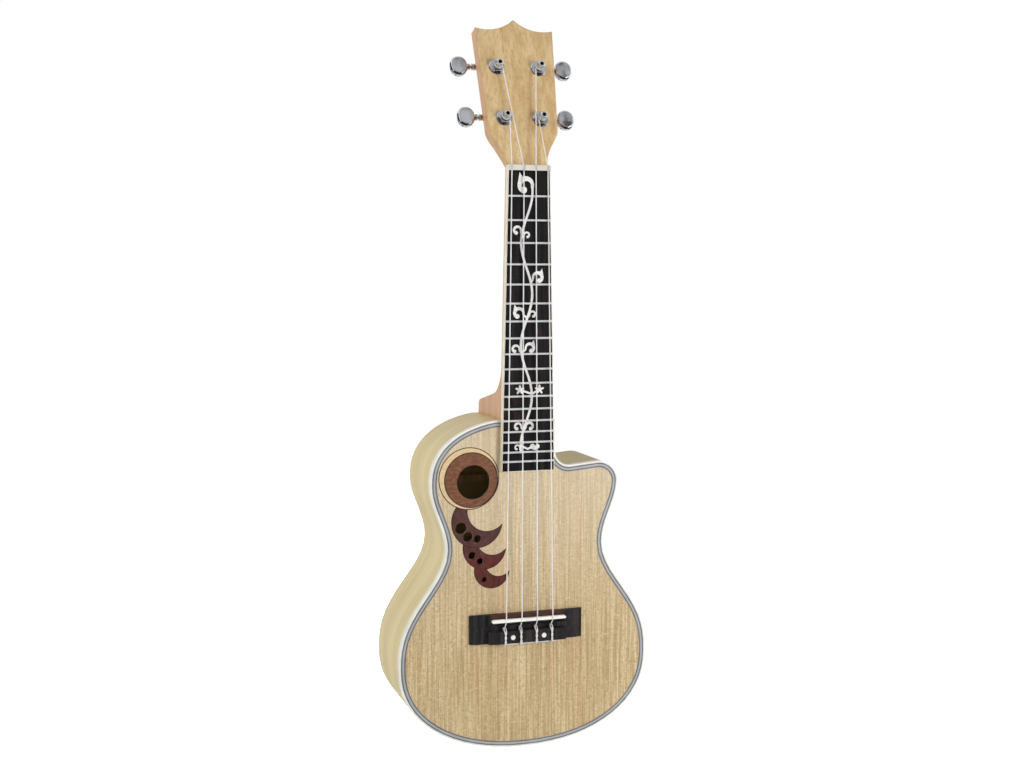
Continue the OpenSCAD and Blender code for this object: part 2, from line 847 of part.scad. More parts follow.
module saddle() {
    crest_r = 0.6 * saddle_t;
    seat_y = saddle_seat - bridge_h;
    color("#f3eedd") intersection() {
        board(-saddle_h - 1, seat_y) saddle_plan(0);
        translate([0, 0, saddle_z]) across(saddle_len + 2) {
            translate([-saddle_h + crest_r, 0]) circle(r = crest_r);
            translate([-saddle_h + crest_r, -crest_r]) square([saddle_h, 2 * crest_r]);
        }
    }
}

// Neck

neck_top_z = nut_t + 8;

module neck_plan() {
    polygon([
        [-neck_half(joint_z), joint_z], [neck_half(joint_z), joint_z],
        [neck_half(neck_top_z), neck_top_z], [-neck_half(neck_top_z), neck_top_z]
    ]);
}

// The rounded back of the neck is a slender cone
module neck_round() {
    nut_y = neck_d_nut - neck_r_nut;
    joint_y = neck_d_joint - neck_r_joint;
    lean = atan((nut_y - joint_y) / -joint_z);
    reach = (neck_top_z - joint_z) / -joint_z;
    translate([0, joint_y, joint_z]) rotate([-lean, 0, 0])
        cylinder(h = (neck_top_z - joint_z) / cos(lean), r1 = neck_r_joint,
                 r2 = neck_r_joint + (neck_r_nut - neck_r_joint) * reach);
}

// Side view of the heel: a sloping foot with a hollow that runs up into the neck
module heel_side() {
    edge_y = 1.5;
    foot_z = joint_z + heel_foot_t;
    rise = tan(heel_slope);
    fillet_y = edge_y + heel_fillet_r;
    fillet_z = foot_z + (heel_d - fillet_y) * rise + heel_fillet_r / cos(heel_slope);
    corner_y = heel_d - heel_corner_r;
    corner_z = foot_z + heel_corner_r * rise - heel_corner_r / cos(heel_slope);
    polygon(concat(
        [[0, joint_z], [heel_d, joint_z]],
        arc([corner_y, corner_z], heel_corner_r, 0, 90 - heel_slope, corner_steps),
        arc([fillet_y, fillet_z], heel_fillet_r, 270 - heel_slope, 180, 2 * corner_steps),
        [[0, fillet_z]]
    ));
}

function flare(t) = let (u = pow(t, 1.3)) u * u * (3 - 2 * u);
function head_half(s) = neck_half(0) + (head_lower_w / 2 - neck_half(0)) * flare(s / head_flare_len);
flare_steps = 12;
scoop_s = head_len + sqrt(scoop_r * scoop_r - scoop_x * scoop_x);
head_corner_s = scoop_s - scoop_r + 0.8;

module headstock_outline() {
    right = concat(
        [
            for (i = [0:flare_steps])
            let (s = head_flare_len * i / flare_steps)
            [head_half(s), s]
        ],
        [[head_upper_w / 2, head_corner_s], [head_upper_w / 2, head_len + 1]]
    );
    difference() {
        polygon(concat(right, [for (p = reverse(right)) [-p[0], p[1]]]));
        for (side = [-1, 1])
            translate([side * scoop_x, scoop_s]) circle(r = scoop_r);
    }
}

// The neck's round back runs out into the flat back of the headstock
head_blend_len = 0.6 * head_flare_len;
head_blend_r = norm([head_half(head_blend_len), head_t + neck_r_nut - neck_d_nut]) + 0.2;

module head_blend() {
    translate([0, 0, neck_r_nut - neck_d_nut]) rotate([-90, 0, 0]) rotate_extrude()
        polygon([
            [0, -2], [neck_r_nut, -2], [head_blend_r, head_blend_len],
            [head_blend_r, head_blend_len + 1], [0, head_blend_len + 1]
        ]);
}

module headstock() {
    on_headstock() difference() {
        translate([0, 0, -head_t]) linear_extrude(head_t) headstock_outline();
        difference() {
            translate([-far / 10, -1, -head_t - 1]) cube([far / 5, head_blend_len + 1, head_t + 2]);
            head_blend();
        }
    }
}

module neck() {
    color("#d3a981") difference() {
        union() {
            intersection() {
                neck_round();
                board(0, heel_d) neck_plan();
            }
            headstock();
            intersection() {
                across(2 * fretboard_end_w) heel_side();
                board(0, heel_d + 1) neck_plan();
            }
        }
        on_headstock() translate([-far / 10, 0, 0]) cube([far / 5, far / 10, far / 10]);
        all_tuners() {
            translate([0, 0, -head_t - 1]) cylinder(h = head_t + 2, d = sleeve_d + 2 * glue_gap);
            translate([0, -lug_drop, -head_t - 1])
                cylinder(h = screw_len + 2, d = lug_screw_d + 2 * glue_gap);
        }
        dowel_holes();
    }
}

// Fretboard

module fretboard_plan(edge) {
    low = -fretboard_len + edge;
    polygon([
        [-neck_half(low) + edge, low], [neck_half(low) - edge, low],
        [neck_half(0) - edge, 0], [-neck_half(0) + edge, 0]
    ]);
}

module fret_slots(w, d) {
    for (n = [1:fret_count])
        translate([-far / 10, -fretboard_t - 1, fret_z(n) - w / 2]) cube([far / 5, d + 1, w]);
}

module fretboard() {
    color("#221a17") difference() {
        board(-fretboard_t, 0) fretboard_plan(fretboard_binding_w);
        fret_slots(tang_w + 2 * glue_gap, tang_d);
        board(-fretboard_t - 1, -fretboard_t + vine_d) vine();
    }
}

module fretboard_binding() {
    color("#efe6cf") board(-fretboard_t, 0) difference() {
        fretboard_plan(0);
        fretboard_plan(fretboard_binding_w);
    }
}

fret_inset = 0.3;

module frets() {
    color("#d5d6d8") for (n = [1:fret_count]) {
        w = 2 * (neck_half(fret_z(n)) - fret_inset);
        tang_len = 2 * (neck_half(fret_z(n)) - fretboard_binding_w) - fret_inset;
        translate([0, -fretboard_t, fret_z(n)]) {
            difference() {
                rotate([0, 90, 0]) cylinder(h = w, d = fret_w, center = true);
                translate([-w, 0, -fret_w]) cube([2 * w, fret_w, 2 * fret_w]);
            }
            translate([-tang_len / 2, -fret_w / 4, -tang_w / 2])
                cube([tang_len, fret_w / 4 + tang_d - 0.1, tang_w]);
        }
    }
}

// Vine: a waving stem with curls and leaves in the spaces between frets

vine_mid = -0.054 * nut_w;
vine_peak_z = 0.8 * fret_z(1);
vine_high_z = 0.66 * fret_z(1);
vine_low_z = (fret_z(16) + fret_z(18)) / 2;
vine_steps = 60;
function vine_x(z) = vine_mid + vine_swing * cos(360 * (z - vine_peak_z) / vine_wave);
function space_z(n) = (fret_z(n) + fret_z(n + 1)) / 2;
// Space between frets, drop below its middle, side, kind, size and distance from the stem of each sprig
sprigs = [
    [2, -1.1, -1, "curl", 4, 4.8], [2, 2.8, 1, "curl", 2.9, 4.4], [4, 2.4, 1, "bud", 5.2, 7.3],
    [6, 0.4, -1, "bud", 5.1, 9], [6, 1.5, 1, "curl", 3.2, 3.6], [8, 2.2, -1, "curl", 3.8, 4.6],
    [8, 1.5, 1, "bud", 4.7, 8], [11, 0, -1, "star", 4.2, 10.3], [11, 0, 1, "star", 4.2, 7.2],
    [14, 0, -1, "curl", 3.6, 6], [14, 0, 1, "curl", 3.9, 4.4], [16, 0, -1, "curl", 2.6, 2.9],
    [16, -0.3, 1, "heart", 2.2, 13]
];
first_bud_r = 7.4;

module vine_stalk(from, to) {
    side = left_of(unit(to - from)) * vine_w / 2.4;
    polygon([from - side, to - side, to + side, from + side]);
}

// A curl that rises at its left, arches over and hooks back under to a bead
module vine_curl(r) {
    difference() {
        circle(r = r);
        translate(r * [-0.08, -0.08]) circle(r = 0.54 * r);
        polygon(r * [[-0.1, -0.1], [-2, -0.75], [-2, -2], [0.6, -2]]);
    }
    translate(r * [0.26, -0.56]) circle(r = 0.4 * r);
}

module vine_bud(r) {
    vine_curl(r);
    polygon(r * [[0.3, 0.85], [0.75, 1.45], [0.96, 0.2]]);
}

module vine_leaf(len) {
    bow = 0.68 * len;
    intersection() {
        translate([-0.36 * len, 0]) circle(r = bow);
        translate([0.36 * len, 0]) circle(r = bow);
    }
}

module vine_star(r) {
    circle(r = 0.45 * r);
    for (a = [0:72:288]) rotate(a) translate([0, 0.6 * r]) vine_leaf(0.76 * r);
}

module vine_heart(r) {
    translate([-r, 0]) circle(r = 1.05 * r);
    translate([r, 0]) circle(r = 0.9 * r);
    polygon(r * [[-1.6, -0.8], [0, -0.1], [1.5, -0.7], [0, -1.5]]);
}

module sprig(n, drop, side, kind, r, out) {
    z = space_z(n) - drop;
    place = [vine_x(z) + side * out, z];
    foot = kind == "star" ? [0, 0] : kind == "heart" ? r * [-2.9, -0.9] : r * [-0.8 * side, -0.3];
    root_z = z + (kind == "heart" ? 0.5 : -0.9) * r;
    vine_stalk(place + foot, [vine_x(root_z), root_z]);
    translate(place) mirror([side < 0 ? 1 : 0, 0]) {
        if (kind == "curl") vine_curl(r);
        if (kind == "bud") vine_bud(r);
        if (kind == "star") vine_star(r);
        if (kind == "heart") {
            vine_heart(r);
            vine_stalk(r * [-1.4, -0.2], r * [-3.2, -0.95]);
        }
    }
}

module vine() {
    line = [
        for (i = [0:vine_steps])
        let (z = vine_high_z + (vine_low_z - vine_high_z) * i / vine_steps)
        [vine_x(z), z]
    ];
    polygon(concat(
        [for (p = line) p + [vine_w / 2, 0]],
        [for (p = reverse(line)) p - [vine_w / 2, 0]]
    ));
    translate([vine_x(vine_high_z) - 0.8 * first_bud_r, vine_high_z + 0.25 * first_bud_r]) mirror([1, 0])
        vine_bud(first_bud_r);
    for (s = sprigs) sprig(s[0], s[1], s[2], s[3], s[4], s[5]);
}

module vine_inlay() {
    color("#ece8dc") difference() {
        board(-fretboard_t, -fretboard_t + vine_d) vine();
        fret_slots(tang_w + 2 * glue_gap, tang_d);
    }
}

// Nut

nut_slot_w = string_d + 0.7;

module nut() {
    floor_h = nut_string_h - string_d / 2;
    color("#f5f0e0") difference() {
        across(nut_w) polygon([[0, 0], [-nut_h + 0.3, 0], [-nut_h, 0.6], [-nut_h + 1.2, nut_t], [0, nut_t]]);
        for (k = TUNERS)
            translate([string_x_nut(k), 0, 0]) across(nut_slot_w)
                polygon([[-nut_h - 1, -1], [-floor_h, -1], [-floor_h, nut_t / 2],
                         [-floor_h + 1.9, nut_t + 1], [-nut_h - 1, nut_t + 1]]);
    }
}

// Strings: each is one tube from its winding on the post to its knot on the tie block

function string_nut_p(k) = [string_x_nut(k), -nut_string_h, nut_t / 2];
function string_saddle_p(k) = [string_x_saddle(k), -saddle_h - string_d / 2 - 0.05, saddle_z];
winding_rings = 24;

// The winding climbs the post from the point where the string touches it
function winding(k) =
    let (from = to_head(string_nut_p(k)),
         away = [from[0] - post_x(k), from[1] - post_s(k)],
         turn = -tuner_side(k),
         start = atan2(away[1], away[0]) + turn * acos(winding_r / norm(away)),
         n = round(winding_turns * winding_rings),
         loops = [
             for (i = [0:n])
             let (a = start + turn * 360 * i / winding_rings)
             from_head([post_x(k) + winding_r * cos(a), post_s(k) + winding_r * sin(a),
                        winding_low + winding_pitch * i / winding_rings])
         ],
         ending = loops[n] + string_d * unit(loops[n] - loops[n - 1]))
    reverse(concat(loops, [ending]));

// Points on the knot by their height above the soundboard, and their distance in front of the tie block or
// from its rear edge
function by_face(x, h, d) = [x, -h, tie_face_z + d];
function by_rear(x, h, d) = [x, -h, bridge_low_z + d];
string_lane = string_d / 2 + 0.25;
string_loop = string_d + 0.52;
strand_h = tie_block_h + string_d / 2 + 0.1;
tail_h = strand_h - 2.9;
tail_lane = -string_d / 2 - 0.2;
rear_lane = tail_lane - string_d - 0.7;
last_tail = 5;

// The knot: through the tie block, up its rear, over its top, round the string, back over and along the rear
function knot_points(k) =
    let (x = string_x_saddle(k), tail = k < 4 ? saddle_spread / 3 - 2 : last_tail,
         loop = [
             [string_lane, strand_h, -1.6], [(string_lane + string_loop) / 2, strand_h - 0.7, 0.7],
             [string_loop, strand_h - 2.2, 1.7], [string_loop, tie_hole_h + 1.3, 2.3]
         ])
    concat(
        [by_face(x, tie_hole_h, 0.4), by_rear(x, tie_hole_h, -0.3), by_rear(x + 0.2, tie_hole_h + 0.3, -1.5),
         by_rear(x + 0.4, tail_h - 0.3, rear_lane), by_rear(x + string_lane, strand_h - 1.1, -1.2),
         by_rear(x + string_lane, strand_h, 1.3)],
        [for (p = loop) by_face(x + p[0], p[1], p[2])],
        [by_face(x, channel_h + string_d / 2 + 0.6, 2.9)],
        [for (p = reverse(loop)) by_face(x - p[0], p[1], p[2])],
        [by_rear(x - string_lane, strand_h, 1.5), by_rear(x - string_lane, strand_h - 0.75, -0.15),
         by_rear(x - string_lane, strand_h - 1.9, tail_lane), by_rear(x - 0.3, tail_h + 0.2, tail_lane),
         by_rear(x + 0.8, tail_h, tail_lane), by_rear(x + 3, tail_h, tail_lane),
         by_rear(x + tail, tail_h, tail_lane)]
    );

function smooth_run(p, steps) = [
    for (i = [0:len(p) - 2])
    for (j = [0:steps - 1])
    let (a = p[max(i - 1, 0)], b = p[i], c = p[i + 1], e = p[min(i + 2, len(p) - 1)], t = j / steps)
    0.5 * (2 * b + (c - a) * t + (2 * a - 5 * b + 4 * c - e) * t * t + (3 * b - a - 3 * c + e) * t * t * t)
];

function string_path(k) =
    let (knot = knot_points(k), last = knot[len(knot) - 1])
    concat(
        winding(k),
        [string_nut_p(k), string_nut_p(k) - [0, 0, nut_t / 2],
         string_saddle_p(k) + [0, 0, 0.6], string_saddle_p(k), string_saddle_p(k) + [0, 0.2, -0.8]],
        smooth_run(knot, 3),
        [last, last + string_d * unit(last - knot[len(knot) - 2])]
    );

// Least gap between stretches of one string that lie more than four diameters apart along it
function lengths(p) = [
    for (i = 0, s = 0; i < len(p); s = s + (i + 1 < len(p) ? norm(p[i + 1] - p[i]) : 0), i = i + 1) s
];
function self_gap(p) =
    let (s = lengths(p))
    min([
        for (i = [0:len(p) - 1])
        for (j = [i + 1:1:len(p) - 1])
        if (s[j] - s[i] > 4 * string_d) norm(p[j] - p[i])
    ]) - string_d;

module string_run(k) {
    path = string_path(k);
    echo(str("string ", k, " least gap to itself: ", self_gap(path), " mm"));
    color("#f3efe4") tube(path, string_d);
}

// Tuners, drawn for the left side: x runs in to the centre line, y up the headstock and z out of its face

module tuner_room() {
    circle(r = room_r);
    translate([-room_r, 0]) square([2 * room_r, room_top]);
}

module housing_area(edge) {
    r = room_r + housing_wall - edge;
    circle(r = r);
    translate([-r, 0]) square([2 * r, room_top + housing_wall - edge]);
}

module along_shaft(x0, x1) {
    translate([x1, worm_up, gear_w_mid]) rotate([0, -90, 0]) linear_extrude(x1 - x0) children();
}

module tuner_housings() {
    color("#c9ccd0") all_tuners() difference() {
        union() {
            translate([0, 0, housing_back_w]) linear_extrude(-head_t - housing_back_w) housing_area(0);
            translate([0, 0, -head_t - lug_t]) linear_extrude(lug_t) {
                translate([0, -lug_drop]) circle(r = lug_r);
                translate([-lug_r, -lug_drop]) square([2 * lug_r, lug_drop]);
            }
            along_shaft(-boss_reach, -room_r) circle(d = boss_d);
        }
        translate([0, 0, housing_back_w - 1]) linear_extrude(gear_room_h + 1) tuner_room();
        translate([0, 0, -head_t - housing_wall - 1])
            cylinder(h = housing_wall + 2, d = post_d + 2 * running_fit);
        along_shaft(-boss_reach - 1, 0) circle(d = shaft_d + 2 * running_fit);
        along_shaft(0, room_r + housing_wall + 1) circle(d = journal_d + 2 * running_fit);
        translate([0, -lug_drop, -head_t - lug_t - 1]) cylinder(h = lug_t + 2, d = lug_screw_d + 0.4);
    }
}

module tuner_covers() {
    step = cover_t / 3;
    color("#bfc3c8") all_tuners() translate([0, 0, housing_back_w]) {
        translate([0, 0, step - cover_t]) linear_extrude(cover_t - step) housing_area(0);
        translate([0, 0, -cover_t]) linear_extrude(cover_t) housing_area(step);
    }
}

module tuner_bushings() {
    color("#d3d6da") all_tuners() difference() {
        union() {
            translate([0, 0, washer_t]) cylinder(h = hex_h, d = hex_w / cos(30), $fn = 6);
            translate([0, 0, 2 - head_t]) cylinder(h = head_t - 2 + washer_t + hex_h / 2, d = sleeve_d);
        }
        translate([0, 0, -head_t]) cylinder(h = 2 * head_t, d = post_d + 2 * running_fit);
    }
}

module tuner_washers() {
    inner = sleeve_d / 2 + glue_gap;
    color("#d3d6da") all_tuners() rotate_extrude()
        polygon([
            [inner, 0], [washer_d / 2, 0], [washer_d / 2, washer_t / 2],
            [(washer_d - washer_t) / 2, washer_t], [inner, washer_t]
        ]);
}

module tuner_screws() {
    head_r = 1.1 * lug_screw_d;
    head_h = 0.75 * lug_screw_d;
    slot_w = 0.7;
    color("#c2c5c9") all_tuners() translate([0, -lug_drop, -head_t - lug_t]) {
        difference() {
            rotate_extrude() polygon([
                [0, -head_h], [0.55 * head_r, -0.93 * head_h], [head_r, -head_h / 3], [head_r, 0], [0, 0]
            ]);
            for (turn = [0, 90])
                rotate(turn) translate([-0.6 * head_r, -slot_w / 2, -2 * head_h])
                    cube([1.2 * head_r, slot_w, 1.5 * head_h]);
        }
        translate([0, 0, -head_h / 8]) cylinder(h = lug_t + screw_len + head_h / 8, d = lug_screw_d);
    }
}

spigot_d = 3.6;
journal_d = 2;
string_hole_d = string_d + 0.3;
gear_low_w = gear_w_mid - gear_w / 2;
gear_high_w = gear_w_mid + gear_w / 2;

module post(k) {
    rim = 0.4;
    dimple_r = 0.26 * post_d;
    color("#d8dbde") at_tuner(k) difference() {
        rotate_extrude() polygon([
            [0, gear_low_w], [spigot_d / 2, gear_low_w], [spigot_d / 2, gear_high_w],
            [post_d / 2, gear_high_w], [post_d / 2, post_waist_low], [post_waist_d / 2, post_waist_low + rim],
            [post_waist_d / 2, post_waist_high - rim], [post_d / 2, post_waist_high],
            [post_d / 2, post_h - rim], [post_d / 2 - rim, post_h],
            [dimple_r, post_h], [0.85 * dimple_r, post_waist_high], [0, post_waist_high]
        ]);
        translate([0, 0, post_waist_high - rim - string_hole_d / 2 - 0.1]) rotate([0, 90, 0])
            cylinder(h = 2 * post_d, d = string_hole_d, center = true);
    }
}

module gear(k) {
    pitch_angle = 360 / gear_teeth;
    tip_half = 0.2 / gear_tip_r * 180 / PI;
    root_half = 0.47 / gear_root_r * 180 / PI;
    color("#b8a05a") at_tuner(k) translate([0, 0, gear_low_w]) linear_extrude(gear_w) difference() {
        polygon([
            for (i = [0:gear_teeth - 1])
            for (corner = [[-root_half, gear_root_r], [-tip_half, gear_tip_r],
                           [tip_half, gear_tip_r], [root_half, gear_root_r]])
            let (a = 90 + i * pitch_angle + corner[0])
            corner[1] * [cos(a), sin(a)]
        ]);
        circle(d = spigot_d + 2 * glue_gap);
    }
}

module button_shaft(k) {
    color("#c4c7cb") at_tuner(k) {
        along_shaft(-button_reach, room_r - 0.6) circle(d = shaft_d);
        along_shaft(room_r - 1, room_r + housing_wall - 0.2) circle(d = journal_d);
    }
}

// Thread of the worm: its radius at a distance u along the axis from the middle of the thread
thread_tip_w = 0.4;
thread_root_w = 1.1;
function thread_r(u) =
    u < thread_tip_w / 2 ? worm_tip_r :
    u > thread_root_w / 2 ? worm_root_r :
    worm_tip_r + (worm_root_r - worm_tip_r) * (u - thread_tip_w / 2) / (thread_root_w / 2 - thread_tip_w / 2);
function thread_u(x, a) = let (p = x / worm_lead - a / 360 + 0.5) abs(p - floor(p) - 0.5) * worm_lead;

module worm(k) {
    sides = 14;
    rings = ceil(worm_len / worm_lead * 10);
    bore_r = (shaft_d / 2 + glue_gap) / cos(180 / sides);
    ring_at = function (x, r) [
        for (j = [0:sides - 1])
        let (a = 360 * j / sides)
        [x, worm_up + r(a) * cos(a), gear_w_mid + r(a) * sin(a)]
    ];
    points = concat(
        [
            for (i = [0:rings])
            let (x = -worm_len / 2 + worm_len * i / rings, end = i == 0 || i == rings)
            each ring_at(x, function (a) end ? worm_root_r : thread_r(thread_u(x, a)))
        ],
        ring_at(-worm_len / 2, function (a) bore_r),
        ring_at(worm_len / 2, function (a) bore_r)
    );
    last = rings * sides;
    bore = last + sides;
    function quad(a, b, c, e) = [[a, b, c], [a, c, e]];
    skin = [
        for (i = [0:rings - 1])
        for (j = [0:sides - 1])
        let (p = i * sides + j, q = i * sides + (j + 1) % sides)
        each quad(p, p + sides, q + sides, q)
    ];
    inside = [
        for (j = [0:sides - 1])
        let (j1 = (j + 1) % sides, far_end = bore + sides)
        each concat(quad(bore + j, bore + j1, far_end + j1, far_end + j),
                    quad(j, j1, bore + j1, bore + j),
                    quad(last + j, far_end + j, far_end + j1, last + j1))
    ];
    color("#a8abb0") at_tuner(k) polyhedron(points, concat(skin, inside));
}

// Half of a button cut across, from its middle to its rounded rim
module button_half() {
    round = 2.4;
    flat_r = button_w / 2 - round;
    translate([0, -button_t / 2]) square([flat_r, button_t]);
    for (side = [-1, 1]) translate([flat_r, side * (button_t / 2 - round)]) circle(r = round);
    translate([0, -button_t / 2 + round]) square([button_w / 2, button_t - 2 * round]);
}

module button(k) {
    stretch = button_len - button_w;
    collar_from = button_w / 2 - 1 - button_reach;
    collar_len = 3.1;
    color("#cfd2d6") at_tuner(k) difference() {
        union() {
            translate([-button_reach, worm_up, gear_w_mid]) {
                for (end = [-1, 1]) translate([0, end * stretch / 2, 0]) rotate_extrude() button_half();
                rotate([90, 0, 0]) linear_extrude(stretch, center = true) {
                    button_half();
                    mirror([1, 0]) button_half();
                }
            }
            along_shaft(collar_from, collar_from + collar_len) circle(d = boss_d);
        }
        along_shaft(-button_reach - glue_gap, 0) circle(d = shaft_d + 2 * glue_gap);
    }
}

soundboard();
back();
side_left();
side_right();
front_binding();
purfling_dark();
purfling_light();
neck_block();
tail_block();
front_lining();
back_lining();
soundboard_braces();
back_braces();
bridge_plate();
neck_dowels();
soundhole_ring();
crescent_inlays();
pale_inlay();
inlay_lines();
bridge();
saddle();
bridge_dots();
neck();
fretboard();
fretboard_binding();
frets();
vine_inlay();
nut();
tuner_housings();
tuner_covers();
tuner_bushings();
tuner_washers();
tuner_screws();
for (k = TUNERS) {
    string_run(k);
    post(k);
    gear(k);
    button_shaft(k);
    worm(k);
    button(k);
}
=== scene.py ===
"""Looks of the cutaway ukulele: finishes, strings, small hardware, studio light and camera."""

import json
import math

import bpy
from mathutils import Matrix, Vector


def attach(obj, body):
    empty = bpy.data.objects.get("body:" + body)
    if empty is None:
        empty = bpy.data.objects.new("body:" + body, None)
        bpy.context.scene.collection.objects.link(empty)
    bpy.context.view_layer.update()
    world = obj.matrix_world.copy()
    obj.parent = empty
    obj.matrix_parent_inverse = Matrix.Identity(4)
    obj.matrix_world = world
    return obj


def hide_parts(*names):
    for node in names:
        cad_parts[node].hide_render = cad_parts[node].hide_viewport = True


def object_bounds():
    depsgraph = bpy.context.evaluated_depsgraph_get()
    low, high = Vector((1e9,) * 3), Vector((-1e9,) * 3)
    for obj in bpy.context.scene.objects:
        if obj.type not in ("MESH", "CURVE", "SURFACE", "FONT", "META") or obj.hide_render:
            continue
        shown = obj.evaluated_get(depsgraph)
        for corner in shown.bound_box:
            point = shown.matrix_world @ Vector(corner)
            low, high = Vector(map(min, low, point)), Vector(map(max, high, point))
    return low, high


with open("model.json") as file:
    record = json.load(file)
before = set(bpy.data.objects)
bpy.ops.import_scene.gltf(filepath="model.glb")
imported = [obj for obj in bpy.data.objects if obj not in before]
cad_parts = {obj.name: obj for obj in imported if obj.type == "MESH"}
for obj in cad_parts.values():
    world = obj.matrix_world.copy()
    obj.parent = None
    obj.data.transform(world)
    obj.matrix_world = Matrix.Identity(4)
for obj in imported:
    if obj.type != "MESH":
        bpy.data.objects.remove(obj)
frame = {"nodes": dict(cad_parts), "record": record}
cad_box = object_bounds()
MM = 0.001
TUNERS = (1, 2, 3, 4)

# Headstock in millimetres: its lean, the nut's thickness, and each post's place to the side and up its face
HEAD_TILT, NUT_T = 17.6, 4.6
POSTS = ((16.1, 42.1), (18.6, 88.5))

# Soundboard in millimetres: the height below which the crescents turn red, and the bridge's brown slope above
# its saddle, by half its width, the fade at its ends, its lower edge and the fade there
RED_BELOW = -312
BRIDGE_SLOPE = (35, 5, -381, 3)


# Shader arithmetic

class Value:
    """A shader socket that adds, subtracts, multiplies and rises to a power like a number."""

    def __init__(self, paint, socket):
        self.paint = paint
        self.socket = socket

    def math(self, operation, other=None, swap=False):
        terms = [self] if other is None else [other, self] if swap else [self, other]
        return self.paint.node("ShaderNodeMath", {"operation": operation}, dict(enumerate(terms)))

    def __add__(self, other):
        return self.math("ADD", other)

    def __sub__(self, other):
        return self.math("SUBTRACT", other)

    def __rsub__(self, other):
        return self.math("SUBTRACT", other, swap=True)

    def __mul__(self, other):
        return self.math("MULTIPLY", other)

    def __pow__(self, other):
        return self.math("POWER", other)

    def __rpow__(self, other):
        return self.math("POWER", other, swap=True)

    __radd__ = __add__
    __rmul__ = __mul__

    def step(self, low, high):
        """Rises smoothly from 0 at low to 1 at high."""
        sockets = {"Value": self, "From Min": low, "From Max": high}
        return self.paint.node("ShaderNodeMapRange", {"interpolation_type": "SMOOTHSTEP"}, sockets)


class Paint:
    """One material with its Principled shader, or the world, and the nodes that feed it."""

    def __init__(self, name, kind="materials"):
        self.material = getattr(bpy.data, kind).new(name)
        self.material.use_nodes = True
        self.tree = self.material.node_tree
        self.shader = self.tree.nodes.get("Principled BSDF")

    def node(self, kind, settings=None, sockets=None, output=0):
        """Adds any node, sets it up and returns one of its outputs, if it has any."""
        made = self.tree.nodes.new(kind)
        for name, setting in (settings or {}).items():
            setattr(made, name, setting)
        for name, value in (sockets or {}).items():
            if isinstance(value, Value):
                self.tree.links.new(value.socket, made.inputs[name])
            else:
                made.inputs[name].default_value = value
        return Value(self, made.outputs[output]) if made.outputs else None

    def place(self):
        """The point on the piece, in metres of the shared frame, which moves with the piece."""
        return self.node("ShaderNodeTexCoord", output="Object")

    def facing(self):
        """The way that the surface faces, as three numbers."""
        return self.axes(self.node("ShaderNodeNewGeometry", output="Normal"))

    def axes(self, place):
        """A point or a direction as three numbers: to the right, to the back and up."""
        return [self.node("ShaderNodeSeparateXYZ", sockets={0: place}, output=i) for i in range(3)]

    def stretch(self, place, scale):
        """A point moved out from the origin by its own factor along each axis."""
        return self.node("ShaderNodeVectorMath", {"operation": "MULTIPLY"}, {0: place, 1: scale})

    def noise(self, place, scale=(1, 1, 1), detail=3.0, roughness=0.55, distortion=0.0):
        """Soft noise from 0 to 1 with so many waves to the metre along each axis."""
        sockets = {"Vector": self.stretch(place, scale), "Scale": 1.0, "Detail": detail,
                   "Roughness": roughness, "Distortion": distortion}
        return self.node("ShaderNodeTexNoise", {}, sockets)

    def mix(self, amount, first, second):
        """A colour between two colours."""
        colours = [c if isinstance(c, Value) else (*c, 1.0) for c in (first, second)]
        settings = {"data_type": "RGBA", "clamp_factor": True}
        return self.node("ShaderNodeMix", settings, {0: amount, 6: colours[0], 7: colours[1]}, output=2)

    def seen(self):
        """1 for rays that show the room itself or its mirror image, and 0 for rays that light a surface."""
        kinds = ("Is Camera Ray", "Is Glossy Ray", "Is Transmission Ray")
        camera_ray, glossy, through = (self.node("ShaderNodeLightPath", output=kind) for kind in kinds)
        return camera_ray.math("MAXIMUM", glossy).math("MAXIMUM", through)

    def bump(self, height, distance, strength=1.0, edge=0.0):
        """A relief of the height on the surface, whose sharp edges look rounded to the edge radius."""
        sockets = {"Height": height, "Distance": distance, "Strength": strength}
        if edge:
            sockets["Normal"] = self.node("ShaderNodeBevel", {"samples": 6}, {"Radius": edge})
        return self.node("ShaderNodeBump", {}, sockets)

    def finish(self, **inputs):
        """Sets the shader's sockets, named with underscores for spaces, and returns the material."""
        for name, value in inputs.items():
            socket = self.shader.inputs[name.replace("_", " ")]
            if isinstance(value, Value):
                self.tree.links.new(value.socket, socket)
            elif isinstance(value, tuple):
                socket.default_value = (*value, 1.0)
            else:
                socket.default_value = value
        return self.material


def srgb(red, green, blue):
    """A colour as a screen shows it, from 0 to 255, turned into light."""
    shares = (red / 255, green / 255, blue / 255)
    return tuple(c / 12.92 if c <= 0.04 else ((c + 0.055) / 1.055) ** 2.4 for c in shares)


# Woods

